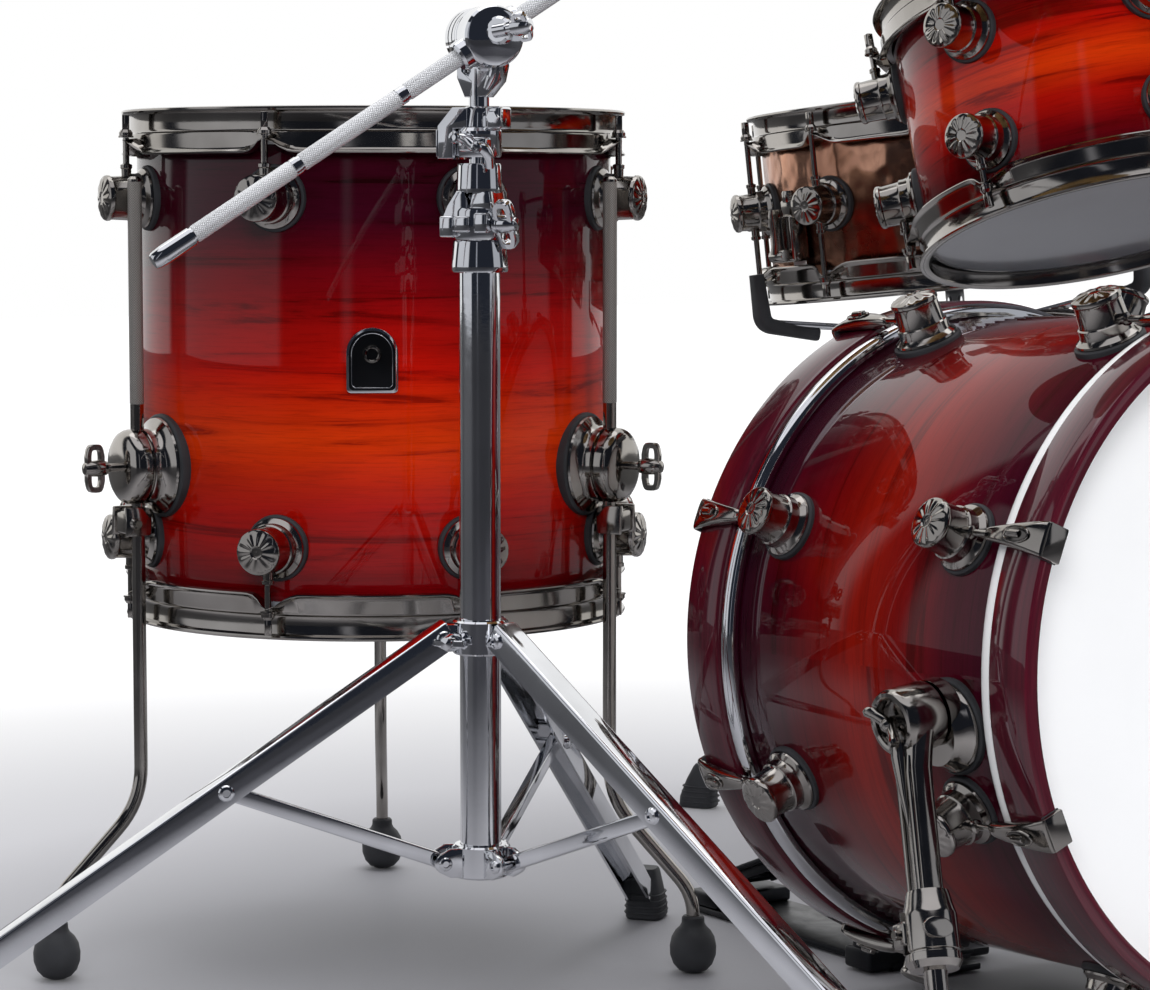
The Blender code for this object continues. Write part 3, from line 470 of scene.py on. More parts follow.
def lacquer(name, half_depth, centre, middle_colour, edge, streak, lowered=0.0):
    """Sunburst lacquer over figured veneer. lowered moves the bright band down, in half depths."""
    look = Look(
        name, centre, roughness=0.35, Coat_Weight=1.0, Coat_Roughness=0.015, Coat_IOR=1.36,
        Specular_IOR_Level=0.03
    )
    place = look.own()
    uv = look.uv()
    z = look.node("SeparateXYZ", Vector=place).outputs[2]
    wobble = look.noise(look.stretch(uv, 2.2, 9.0), 1.0, 3.0)
    reach = look.math("ABSOLUTE", look.math("MULTIPLY_ADD", z, 1 / half_depth, lowered))
    reach = look.math("ADD", reach, look.math("MULTIPLY_ADD", wobble, 0.14, -0.07))
    burst = look.ramp(reach, ((0.0, centre), (0.28, middle_colour), (0.58, edge[0]), (0.88, edge[1])))
    figure = look.noise(look.stretch(uv, 2.6, 52.0), 1.0, 7.0, 0.66, 1.1)
    fine = look.noise(look.stretch(uv, 26.0, 520.0), 1.0, 4.0, 0.7, 0.3)
    broad = look.noise(look.stretch(uv, 1.6, 12.0), 1.0, 2.0, 0.5, 1.0)
    lines = look.ramp(figure, ((0.36, streak), (0.42, (0.8, 0.72, 0.66)), (0.52, (1.0, 1.0, 1.0))))
    pores = look.ramp(fine, ((0.3, (0.55, 0.45, 0.4)), (0.5, (1.0, 1.0, 1.0))))
    cloud = look.ramp(broad, ((0.3, (0.8, 0.72, 0.7)), (0.7, (1.12, 1.1, 1.0))))
    colour = look.mix(0.85, burst, lines, "MULTIPLY")
    colour = look.mix(0.6, colour, pores, "MULTIPLY")
    colour = look.mix(0.8, colour, cloud, "MULTIPLY")
    look.set("Base Color", colour)
    look.bump(fine, 0.00004, 0.25)
    return look.mat


def plain_lacquer(name, colour, dark):
    look = Look(
        name, colour, roughness=0.3, Coat_Weight=1.0, Coat_Roughness=0.02, Coat_IOR=1.6,
        Specular_IOR_Level=0.1
    )
    uv = look.uv()
    grain = look.noise(look.stretch(uv, 8.0, 260.0), 1.0, 5.0, 0.6, 0.4)
    look.set("Base Color", look.ramp(grain, ((0.35, dark), (0.65, colour))))
    look.bump(grain, 0.00003, 0.2)
    return look.mat


def hammered(name):
    """Dark hammered copper, with dents beaten in rows and brown-gold patina."""
    look = Look(name, (0.36, 0.17, 0.1), metallic=1.0, roughness=0.24)
    uv = look.uv()
    stretched = look.stretch(uv, 72.0, 62.0)
    dents = look.node(
        "TexVoronoi", Vector=stretched, Scale=1.0, feature="SMOOTH_F1", Smoothness=0.7, Randomness=0.8
    )
    cloud = look.noise(look.stretch(uv, 16.0, 12.0), 1.0, 4.0, 0.55, 0.8)
    colour = look.ramp(
        cloud, ((0.28, (0.14, 0.066, 0.046)), (0.5, (0.34, 0.165, 0.105)), (0.74, (0.7, 0.38, 0.25)))
    )
    look.set("Base Color", colour)
    look.set("Roughness", look.ramp(cloud, ((0.3, 0.3), (0.7, 0.17))))
    look.bump(dents.outputs["Distance"], 0.002, 0.6)
    return look.mat


def drum_head(name, colour, roughness, speck, bump, coat=0.0):
    look = Look(name, colour, roughness=roughness, Coat_Weight=coat, Coat_Roughness=0.08)
    place = look.own()
    look.set(
        "Base Color",
        look.ramp(look.noise(place, 9.0, 3.0), ((0.3, shaded(colour, speck)), (0.7, colour)))
    )
    look.bump(look.noise(place, 900.0, 2.0), bump, 0.5)
    return look.mat


def rubber(name, colour=(0.026, 0.027, 0.03), roughness=0.55):
    look = Look(name, colour, roughness=roughness, Specular_IOR_Level=0.4)
    place = look.own()
    grain = look.noise(place, 700.0, 3.0)
    cloud = look.noise(place, 30.0, 4.0)
    look.set("Base Color", look.ramp(cloud, ((0.3, shaded(colour, 0.7)), (0.75, shaded(colour, 1.5)))))
    look.bump(grain, 0.00008, 0.6)
    return look.mat


def bronze(name):
    """Lathed cymbal bronze: fine turning grooves round the bell, with broader tone bands."""
    look = Look(name, (0.72, 0.49, 0.21), metallic=1.0, roughness=0.26)
    parts = look.node("SeparateXYZ", Vector=look.own())
    radius = look.math(
        "SQRT",
        look.math(
            "ADD", look.math("POWER", parts.outputs[0], 2.0),
            look.math("POWER", parts.outputs[1], 2.0)
        )
    )
    ring = look.node("CombineXYZ", X=radius).outputs[0]
    bands = look.noise(ring, 70.0, 3.0, 0.6)
    fine = look.noise(ring, 900.0, 2.0, 0.6)
    stain = look.noise(look.own(), 7.0, 4.0)
    colour = look.ramp(bands, ((0.3, (0.5, 0.31, 0.11)), (0.7, (0.8, 0.57, 0.27))))
    look.set(
        "Base Color",
        look.mix(
            0.5, colour, look.ramp(stain, ((0.35, (0.62, 0.5, 0.35)), (0.65, (1.0, 1.0, 1.0)))),
            "MULTIPLY"
        )
    )
    look.set("Roughness", look.ramp(fine, ((0.3, 0.2), (0.7, 0.36))))
    look.bump(fine, 0.00012, 0.7)
    return look.mat


TOM_BURST = dict(
    centre=(0.66, 0.04, 0.0015), middle_colour=(0.46, 0.0055, 0.001),
    edge=((0.17, 0.001, 0.003), (0.034, 0.0008, 0.007)), streak=(0.34, 0.16, 0.1),
)
BASS_BURST = dict(
    centre=(0.29, 0.009, 0.0025), middle_colour=(0.17, 0.003, 0.0028),
    edge=((0.064, 0.001, 0.009), (0.026, 0.001, 0.009)), streak=(0.4, 0.2, 0.14),
)
NICKEL = metal("black_nickel", (0.43, 0.405, 0.375), 0.1, 0.07, tint=(0.31, 0.29, 0.265))
# A darker copy of the black nickel: painted shade in the claw pockets and in the spur hub's recess; it also
# draws the dark strip along the spur collar and the badge's vent ring.
NICKEL_DARK = metal("black_nickel_dark", (0.15, 0.14, 0.13), 0.14, 0.08)
CHROME = metal("chrome", (0.83, 0.84, 0.86), 0.045, 0.05)
STEEL = metal("bright_steel", (0.62, 0.62, 0.63), 0.22, 0.08)
KNURL_DARK = knurled("knurled_nickel", (0.34, 0.32, 0.3), 0.32)
KNURL_CHROME = knurled("knurled_chrome", (0.92, 0.93, 0.95), 0.25)
RUBBER = rubber("rubber")
FELT = rubber("felt", (0.05, 0.05, 0.055), 0.95)
WHITE_HEAD = drum_head("coated_head", (0.94, 0.945, 0.95), 0.42, 0.975, 0.00006)
# Opaque grey film for the clear lower heads: partly the film's haze, partly painted shade from the dark
# inside of the drum seen through it.
GREY_HEAD = drum_head("hazy_head_painted_shade", (0.26, 0.27, 0.295), 0.2, 0.94, 0.00001, coat=0.6)
WHITE_RING = drum_head("flesh_ring_white", (0.86, 0.86, 0.86), 0.25, 0.97, 0.00001, coat=0.5)
HOOP_LACQUER = plain_lacquer("hoop_lacquer", (0.08, 0.005, 0.014), (0.045, 0.003, 0.009))
INNER_PLY = plain_lacquer("inner_ply", (0.3, 0.17, 0.09), (0.2, 0.11, 0.055))
COPPER = hammered("hammered_copper")
BRONZE = bronze("cymbal_bronze")
BLACK = metal("pedal_black", (0.03, 0.031, 0.034), 0.38, 0.1, bump=0.00003)

class Drum:
    """One drum: its frame, sizes, where its lugs stand, and the body it rides on."""

    def __init__(self, name, body, sizes, x_axis, ends, angles, lug_z):
        self.name, self.body = name, body
        self.radius, self.depth = sizes
        self.place = drum_place(f"{name}_{ends[0]}_head", f"{name}_{ends[1]}_head", x_axis)
        self.angles, self.lug_z = angles, lug_z
        self.ends = ends

    def at(self, angle, z):
        """A frame on the shell: Z points outwards and X along the drum's axis."""
        return axes_frame(around(angle) * self.radius + UP * z, UP, around(angle))

    def piece(self, form, what, materials, replaced=None, **more):
        """Ends a form as a piece of this drum, which may stand for one of its CAD nodes."""
        nodes = [f"{self.name}_{replaced}"] if replaced else []
        form.piece(f"{self.name}_{what}", materials, self.body, self.place, nodes, **more)


def floor_tom_x_axis():
    """The floor tom is turned so that its third leg stands at its own +Y."""
    tom = (middle("floor_tom_batter_head") + middle("floor_tom_lower_head")) / 2
    back = middle("floor_tom_leg_screw_3") - tom
    return (back.y, -back.x, 0)


BASS_HOOP_PAST = 0.0265  # wooden hoop's edge beyond the bearing edge
bass = Drum(
    "bass", "kit", BASS, (-1, 0, 0), ("batter", "front"), every(45, 22.5),
    BASS[1] / 2 + BASS_HOOP_PAST - 0.098
)
floor = Drum(
    "floor_tom", "kit", FLOOR, floor_tom_x_axis(), ("batter", "lower"), every(45, 22.5),
    FLOOR[1] / 2 - 0.0615
)
rack = Drum(
    "rack_tom", "rack_tom", RACK, (1, 0, 0), ("batter", "lower"), every(60, -75), RACK[1] / 2 - 0.053
)
snare = Drum("snare", "snare_drum", SNARE, (1, 0, 0), ("batter", "lower"), every(36, -5), 0.0)


# Shells, heads and hoops.


def shell(drum, wall, look, inside, slot):
    """The ply cylinder with rounded bearing edges."""
    r, h = drum.radius, drum.depth / 2
    cut = wall * 0.5
    profile = [
        (r, -h + 0.004), (r, h - 0.004), (r - 0.0015, h - 0.001), (r - cut, h), (r - wall, h - cut)
    ]
    profile += [(r - wall, -h + cut), (r - cut, -h), (r - 0.0015, -h + 0.001)]
    form = Form().lathe(profile, 160, closed=True)
    for face in form.bm.faces:
        if face.calc_center_median().xy.length < r - wall * 0.6:
            face.material_index = 1
    drum.piece(form, f"shell_skin", [look, inside], f"shell", slot=slot)


def film(drum, end, side, look, slot, ring=None):
    """A drum head: film over the bearing edge, collar, and the ring that the hoop pulls on."""
    r, h = drum.radius, drum.depth / 2
    top = [(0, h + 0.0004), (r * 0.5, h + 0.0004)] + moved(r, h, (-6, 0.4), (-1.5, 0.2))
    collar = moved(r, h, (0.4, -1.2), (1, -7.5), (6, -8.2), (6.2, -18))
    hem = moved(r, h, (1.2, -18.2), (0.4, -10), (-0.4, -1.8))
    under = [(r - 0.003, h - 0.0002), (r * 0.5, h), (0, h)]
    profile = [(x, side * z) for x, z in top + collar + hem + under]
    form = Form().lathe(profile, 128)
    looks = [look]
    if ring:
        looks.append(ring)
        form.mat = 1
        start, wide = h - 0.0125, 0.015
        band = [(r + 0.0006, start + 0.001), (r + 0.0064, start + 0.001)]
        swell = [math.radians(angle) for angle in range(-70, 91, 20)]
        band += [(r + 0.004 + 0.0066 * math.cos(a), start - wide / 2 * (1 + math.sin(a))) for a in swell]
        band += [(r + 0.0006, start - wide)]
        form.lathe([(x, side * z) for x, z in band], 160, closed=True)
    drum.piece(form, f"{end}_film", looks, f"{end}_head", slot=slot)


# A steel hoop's skirt and step, below the bearing edge, and the ear raised at each rod.
HOOP_BASE, HOOP_STEP, EAR_LIFT, EAR_OUT, EAR_WIDE = 0.026, 0.0075, 0.012, 0.0095, 0.011


def steel_hoop(drum, end, side):
    """A triple-flanged hoop: rolled lip, step over the head's ring, and a skirt with an ear at each rod."""
    r, h = drum.radius, drum.depth / 2
    top, step, base = h + HOOP_ABOVE, h - HOOP_STEP, h - HOOP_BASE
    outer = moved(
        0, base, (7, 0), (11.2, 0.2), (12.5, 0.8), (12.8, 1.8), (12.2, 2.7), (10.8, 3.6), (9.6, 6)
    )
    outer += moved(0, step, (9.3, -2.2), (8.7, -0.8), (7.4, 0), (6.4, 1.2), (6.1, 3))
    outer += moved(
        0, top, (6.1, -6.2), (6.8, -4.6), (10.8, -4), (12.2, -3.4), (12.7, -2), (12.1, -0.6),
        (10.6, 0)
    )
    inner = moved(0, top, (5.6, 0), (4.2, -0.8), (3.6, -2.4)) + moved(0, step, (3.6, -1.6), (7, -2.4))
    ears = [math.radians(a - 90) for a in drum.angles]

    def vary(t, radius, z):
        off = min(abs(math.remainder(t - e, TAU)) for e in ears) * r
        bump = math.exp(-((off / EAR_WIDE) ** 2))
        low = min(max((step - z) / (step - base), 0), 1)
        out = EAR_OUT * bump if radius > r + 0.01 and z < step - 0.004 else 0
        return radius + out, side * (z + EAR_LIFT * bump * low)

    form = Form().lathe([(r + x, z) for x, z in outer + inner], 240, vary=vary, closed=True)
    drum.piece(form, f"{end}_flanged_hoop", NICKEL, f"{end}_hoop")
    rods = Form()
    z_ear = base + EAR_LIFT + 0.003
    for angle in drum.angles:
        tension_rod(rods, around(angle) * (r + ROD_CIRCLE), side, drum.lug_z + 0.015, z_ear)
    drum.piece(rods, f"{end}_tension_rods", NICKEL, sharp=30)


def tension_rod(form, at, side, z_lug, z_ear, key=True):
    """A rod from its lug sleeve, through the ear, with its washer and square key head."""
    place = Matrix.Translation(at) @ Matrix.Diagonal((1, 1, side, 1))
    form.lathe(
        moved(0, z_lug, (0, 0), (4, 0), (4.2, 9), (5, 9.8), (5, 12.5), (3, 13.5), (0, 13.5)), 16,
        place
    )
    form.lathe(pin(0.0027, z_lug + 0.01, z_ear - 0.0005), 12, place)
    if key:
        form.lathe(
            moved(
                0, z_ear, (0, -0.4), (6.4, -0.4), (6.4, 0.8), (5.7, 1.2), (5.7, 3.8), (4, 6.2),
                (0, 6.2)
            ),
            20, place
        )
        form.block((0.0058, 0.0058, 0.013), place @ shift(0, 0, z_ear + 0.012), 0.0007)


FLUTES = 12


def lug(metal_form, rubber_form, place):
    """A turned cup on a gasket. Its cap has straight radial flutes."""
    gasket = mm((20.5, -3.5), (26.6, -3.5), (27.4, 0.6), (27, 2.6), (25.6, 3.6), (20.5, 3.6))
    flange = mm((21, 1.5), (24.4, 3), (25, 4.4), (24.6, 6), (22.6, 7.4), (20.8, 9.2))
    cup = mm((20.3, 11.8), (20.3, 16.5), (19.1, 17.4), (18.6, 19), (18, 32), (18.2, 33.8))
    cap = mm((18.9, 34.8), (19, 36.8), (18.4, 38.2), (17.2, 39.2), (15, 40), (12, 40.7))
    cap += mm((8, 41.3), (5.6, 41.2), (4.6, 40.4), (3, 40.2), (0, 40.4))

    def flute(t, r, z):
        if 0.006 < r < 0.018 and z > 0.037:
            z -= 0.0008 * (0.5 - 0.5 * math.cos(FLUTES * t)) * min(1, (0.019 - r) / 0.004)
        return r, z

    metal_form.lathe(flange + cup + cap, 60, place, vary=flute)
    rubber_form.lathe(gasket, 48, place, closed=True)


def lugs(drum, rows):
    metal_form, rubber_form = Form(), Form()
    for angle in drum.angles:
        for z in rows:
            lug(metal_form, rubber_form, drum.at(angle, z))
    drum.piece(metal_form, f"lugs", NICKEL, sharp=28)
    drum.piece(rubber_form, f"gaskets", RUBBER)


def wooden_hoop(drum, end, side):
    """A bass hoop with eased edges. It steps over the head's ring."""
    r, h = drum.radius, drum.depth / 2
    out, tip, base, step = r + 0.013, h + BASS_HOOP_PAST, h + BASS_HOOP_PAST - 0.04, h + 0.0018
    e = 0.0028
    profile = [
        (out - e, base), (out - e * 0.3, base + e * 0.3), (out, base + e), (out, tip - e),
        (out - e * 0.3, tip - e * 0.3), (out - e, tip)
    ]
    profile += moved(r, tip, (3, 0), (1, -0.6), (0.4, -2.6))
    profile += [(r + 0.0004, step), (r + 0.0067, step), (r + 0.0067, base)]
    form = Form().lathe([(x, side * z) for x, z in profile], 200, closed=True)
    drum.piece(form, f"{end}_wooden_hoop", HOOP_LACQUER, f"{end}_hoop", slot="hoop_lacquer")
    claws, pockets, pads = Form(), Form(), Form()
    for angle in drum.angles:
        place = axes_frame(around(angle) * out + Vector((0, 0, side * tip)), (0, 0, side), around(angle))
        claw(claws, pockets, pads, place)
        tension_rod(
            claws, around(angle) * (r + ROD_CIRCLE), side, drum.lug_z + 0.015, tip - 0.05, key=False
        )
    drum.piece(claws, f"{end}_claws", NICKEL, sharp=32)
    drum.piece(pockets, f"{end}_claw_pockets", NICKEL_DARK)
    drum.piece(pads, f"{end}_claw_pads", RUBBER)


def loft(form, place, stations, steps=20, power=3.2):
    """Skins rounded sections (x, width, low, high) set across the local X axis."""
    rows = []
    for x, wide, low, high in stations:
        section = oval(wide, high - low, steps, power)
        rows.append([place @ Vector((x, y, z + (low + high) / 2)) for y, z in section])
    form.grid(rows, cap=True)


def claw(form, pockets, pads, place):
    """A tapered claw from the rod to a hook over the hoop's edge, with an oval pocket for the key bolt."""
    stations = mm((-56, 6.6, 1.2, 7.8), (-55, 9, 0.4, 8.8), (-50, 11, 0.4, 10), (-38, 14, 0.4, 11.2))
    stations += mm(
        (-24, 18, 0.4, 11.2), (-10, 22.5, 0.4, 9.6), (-1, 25, 0.4, 7.2), (3, 26.2, -1, 5.6),
        (4, 26.2, -1.6, 4)
    )
    loft(form, place, stations)
    form.block((0.0042, 0.0262, 0.0175), place @ shift(0.0024, 0, -0.0058), 0.0012)
    form.block((0.01, 0.025, 0.003), place @ shift(-0.002, 0, -0.0136), 0.001)
    tilt = place @ shift(-0.02, 0, 0.0106) @ spin(4, "Y")
    # The pocket is a dark nickel slab: painted shade in the pocket.
    pockets.slab(oval(0.0225, 0.0105), 0.0018, tilt, 0.0004)
    rim = [tilt @ Vector((x, y, 0.0004)) for x, y in oval(0.024, 0.0118, 40)]
    loop(form, rim, 0.00085, 10)
    form.rod((-0.006, 0, 0.0012), (0.005, 0, 0.0012), 0.003, 14, place=tilt)
    form.block((0.0055, 0.0046, 0.0046), tilt @ shift(-0.0062, 0, 0.0014), 0.0006)
    pads.block((0.0012, 0.0268, 0.016), place @ shift(0.0, 0, -0.0062), 0.0003)


def loop(form, path, radius, sides=12):
    """A closed ring of tube along a path of points."""
    count = len(path)
    centre = sum(path, Vector()) / count
    normal = (path[0] - centre).cross(path[count // 4] - centre).normalized()
    rows = []
    for k, p in enumerate(path):
        along = (path[(k + 1) % count] - path[k - 1]).normalized()
        side = along.cross(normal).normalized()
        rows.append(
            [
                p + (side * math.cos(TAU * i / sides) + normal * math.sin(TAU * i / sides)) * radius
                for i in range(sides)
            ]
        )
    form.grid(rows, wrap_v=True, vs=[0.004 * k for k in range(count + 1)])


def wing(form, place, wide=0.04, high=0.019, thick=0.0032, stem=0.02):
    """A wing screw: a square window either side of its hub. Its screw runs along Z from the casting."""
    form.lathe(pin(0.0036, -0.001, stem), 16, place)
    head = place @ shift(0, 0, stem + high / 2 - 0.001)
    for side in (1, -1):
        outer = oval(wide * 0.5, high, 32, 4.0)
        inner = oval(wide * 0.26, high * 0.46, 32, 6.0)
        middle_x = side * wide * 0.25
        taper = [1.0 - 0.22 * max(0.0, x * side) / (wide * 0.25) for x, _ in outer]
        rows = []
        for y, outline, grow in (
            (-thick, outer, 0.93), (
                -thick * 0.72, outer, 1.0
            ), (thick * 0.72, outer, 1.0), (thick, outer, 0.93),
            (thick, inner, 1.08), (thick * 0.7, inner, 1.0), (
                -thick * 0.7, inner, 1.0
            ), (-thick, inner, 1.08),
        ):
            rows.append(
                [
                    head @ Vector((middle_x + x * grow, y, z * grow * t)) for (x, z),
                    t in zip(outline, taper)
                ]
            )
        form.grid(rows, wrap_u=True, wrap_v=True)
    form.lathe(
        [
            (0, -high / 2 - 0.002), (0.0058, -high / 2 - 0.002), (0.007, -high / 4),
            (0.0066, high / 4), (0.0048, high / 2 + 0.001), (0, high / 2 + 0.0018)
        ],
        24, head
    )


def tee(form, place, long=0.034):
    """A small two-lobed wing bolt along Z."""
    form.lathe(mm((0, 0), (5.2, 0), (5.6, 4), (5, 11), (3, 13.5), (0, 13.8)), 20, place)
    for side in (1, -1):
        lobe = [
            (side * 0.002, 0.01, 0.004, 0.0115), (side * long * 0.3, 0.0074, 0.007, 0.015),
            (side * long * 0.45, 0.009, 0.0084, 0.019), (side * long * 0.52, 0.006, 0.01, 0.0185)
        ]
        loft(form, place, lobe, 14, 2.4)


def bolt(form, place, radius=0.0055, high=0.0035):
    """A domed bolt head with a socket."""
    dome = ((0, 0), (1, 0), (1, 0.45), (0.85, 0.85), (0.5, 1), (0.46, 0.55), (0, 0.55))
    form.lathe([(x * radius, z * high) for x, z in dome], 24, place)


shell(bass, 0.007, lacquer("bass_burst", BASS[1] / 2, **BASS_BURST), INNER_PLY, "shell_lacquer")
shell(
    floor, 0.007, lacquer("floor_tom_burst", FLOOR[1] / 2, **TOM_BURST, lowered=0.26), INNER_PLY,
    "shell_lacquer"
)
shell(rack, 0.007, lacquer("rack_tom_burst", RACK[1] / 2, **TOM_BURST), INNER_PLY, "shell_lacquer")
shell(snare, 0.003, COPPER, STEEL, "copper_shell")
film(bass, "batter", 1, WHITE_HEAD, "coated_head", CHROME)
film(bass, "front", -1, WHITE_HEAD, "coated_head", WHITE_RING)
for drum in (floor, rack, snare):
    film(drum, "batter", 1, WHITE_HEAD, "coated_head")
    film(drum, "lower", -1, GREY_HEAD, "clear_head")
    steel_hoop(drum, "batter", 1)
    steel_hoop(drum, "lower", -1)
wooden_hoop(bass, "batter", 1)
wooden_hoop(bass, "front", -1)
lugs(bass, (bass.lug_z, -bass.lug_z))
lugs(floor, (floor.lug_z, -floor.lug_z))
lugs(rack, (rack.lug_z, -rack.lug_z))
lugs(snare, (0.0,))


# Floor tom: badge, leg brackets, legs.


def badge():
    """A plain arched plate with a raised border and the shell's vent through it."""
    wide, high = 0.042, 0.053
    place = floor.at(0, 0.0115) @ spin(90, "Z")

    def arch(shrink):
        w, low, spring = wide / 2 - shrink, -high / 2 + shrink, high / 2 - wide / 2
        foot = arc(
            (-w + 0.004, low + 0.004), 0.004, 180, 270, 4
        ) + arc((w - 0.004, low + 0.004), 0.004, 270, 360, 4)
        return [(-x, -y) for x, y in foot + arc((0, spring), w, 0, 180, 24)]

    plate, field, vent = Form(), Form(), Form()
    plate.slab(arch(0), 0.0042, place, 0.0007)
    field.slab(arch(0.0022), 0.0012, place @ shift(0, 0, 0.0018), 0.0002)
    rim = [place @ Vector((x, y, 0.0024)) for x, y in arch(0.0045)]
    loop(plate, rim, 0.0005, 8)
    vent_place = place @ shift(0, -0.005, 0)
    profile = mm((4.2, -4), (7.6, -4), (7.8, 2.6), (7, 3.8), (5.6, 4.2), (4.6, 3.6), (4.2, 2))
    vent.lathe(profile, 40, vent_place, closed=True)
    plate.piece("badge_plate", CHROME, "kit", floor.place)
    field.piece("badge_field", BLACK, "kit", floor.place)
    vent.piece("badge_vent", NICKEL_DARK, "kit", floor.place)


# Floor tom legs: heights from the floor, then how far out the foot and the rod stand.
LEG_BRACKET_Z, LEG_TOP, LEG_BEND_Z, LEG_KNEE_Z = 0.423, 0.661, 0.141, 0.066
LEG_FOOT_OUT, LEG_OUT = 0.0785, 0.0238


def bracket(metal_form, rubber_form, place, wide=0.0312, tall=0.042):
    """A round bracket: gasket, flared flange, neck, and a domed cap beyond a dark joint line."""
    w, t = wide / 0.0312, tall / 0.042
    gasket = mm((34, -6.5), (42.4, -6.5), (43.4, 0.6), (43, 3), (41.2, 4.4), (34, 4.4))
    flange = mm((34.5, 2), (39.6, 3.6), (40.3, 5.2), (39.8, 7.2), (37.2, 9), (33.8, 11.2), (31.8, 14))
    neck = mm((31.2, 16.5), (31.2, 20.5), (30.6, 21.2), (28.4, 21.3), (28.4, 23.3), (30.6, 23.4))
    cap = mm((31.4, 24.4), (31.4, 30), (30.8, 33.5), (29, 36.8), (25.8, 39.2), (21, 40.8))
    cap += mm((15, 41.7), (8, 42), (0, 42.1))
    metal_form.lathe([(x * w, z * t) for x, z in flange + neck + cap], 72, place)
    rubber_form.lathe([(x * w, z * t) for x, z in gasket], 64, place, closed=True)


def floor_tom_legs():
    metal_form, rubber_form = Form(), Form()
    tom = floor.place.translation
    for number in LEGS:
        screw = middle(f"floor_tom_leg_screw_{number}") - tom
        out = Vector((screw.x, screw.y, 0)).normalized()
        local_out = floor.place.to_3x3().inverted() @ out
        place = axes_frame(
            local_out * floor.radius + Vector((0, 0, LEG_BRACKET_Z - tom.z)), UP, local_out
        )
        bracket(metal_form, rubber_form, place)
        floor_place = tom + out * (floor.radius + LEG_OUT)
        floor_place.z = 0
        floor_tom_leg(number, axes_frame(floor_place, out, UP))
        turn = axes_frame(
            tom + out * (floor.radius + 0.042) + Vector((0, 0, LEG_BRACKET_Z - tom.z)), (0, 0, 1), out
        )
        form = Form()
        wing(form, turn, stem=0.0135, high=0.0165)
        form.stand_in(f"floor_tom_wing_screw_{number}", NICKEL, f"floor_tom_leg_screw_{number}")
    metal_form.piece("floor_tom_leg_brackets", NICKEL, "kit", floor.place, sharp=28)
    rubber_form.piece("floor_tom_bracket_gaskets", RUBBER, "kit", floor.place)


def floor_tom_leg(number, place):
    """A bent rod, knurled above its bracket, with its memory lock and rubber ball foot. X points outwards."""
    r, body = 0.0058, f"floor_tom_leg_{number}"
    foot = (LEG_FOOT_OUT, 0, 0)
    knurl_low = LEG_BRACKET_Z + 0.052
    rod, knurl, foot_form = Form(), Form(), Form()
    low = rounded(
        [(0, 0, knurl_low), (0, 0, LEG_BEND_Z), (LEG_FOOT_OUT, 0, LEG_KNEE_Z), (LEG_FOOT_OUT, 0, 0.026)],
        0.03, 9
    )
    rod.sweep(low, r * 0.97, 20)
    rod.lathe(
        [
            (0, LEG_TOP - 0.002), (r, LEG_TOP - 0.002), (r, LEG_TOP), (r * 0.6, LEG_TOP + 0.0022),
            (0, LEG_TOP + 0.0022)
        ],
        20
    )
    knurl.sweep(
        [
            (0, 0, knurl_low - 0.001), (0, 0, knurl_low + 0.001), (0, 0, LEG_TOP - 0.003),
            (0, 0, LEG_TOP - 0.0015)
        ],
        [r * 0.9, r * 1.02, r * 1.02, r * 0.9], 24
    )
    lock = shift(0, 0, LEG_BRACKET_Z - 0.046)
    rod.lathe(
        mm((5, -11), (10.4, -11), (11.2, -9), (11.2, 9), (10.4, 11), (5, 11)), 28, lock, closed=True
    )
    rod.block((0.012, 0.026, 0.019), lock @ shift(0.01, 0, 0), 0.0022, 3)
    rod.block(
        (0.019, 0.0045, 0.024), lock @ shift(0.008, 0.0125, 0.001) @ Matrix.Rotation(0.12, 4, "X"),
        0.0012
    )
    rod.block(
        (0.019, 0.0045, 0.024), lock @ shift(0.008, -0.0125, 0.001) @ Matrix.Rotation(-0.12, 4, "X"),
        0.0012
    )
    key = lock @ shift(0.01, 0.012, 0) @ spin(-90, "X")
    rod.lathe(mm((0, 0), (4.6, 0), (4.6, 3), (3, 5), (3, 11), (0, 11)), 20, key)
    ball = mm((0, 0.6), (7, 0.4), (12, 2.5), (16.5, 7.5), (19.2, 15), (19.5, 22.5), (18, 30))
    ball += mm((14.8, 35.5), (11, 39.2), (9.6, 42), (9.4, 46.5), (8, 48), (0, 48.2))
    foot_form.lathe(ball, 48, Matrix.Translation(foot))
    rod.stand_in(f"{body}_rod", NICKEL, body, place)
    knurl.piece(f"{body}_knurl", KNURL_DARK, body, place)
    foot_form.piece(f"{body}_rubber", RUBBER, body, place)


badge()
floor_tom_legs()


# Bass drum spurs, and the tom holder.


# Spurs: the hub's distance from its bracket and height above it, the arm, and the rod inside it.
SPUR_OUT, SPUR_LIFT, SPUR_ARM, SPUR_ROD_TOP = 0.038, 0.014, 0.128, 0.1
RACK_BRACKET_ANGLE = 15


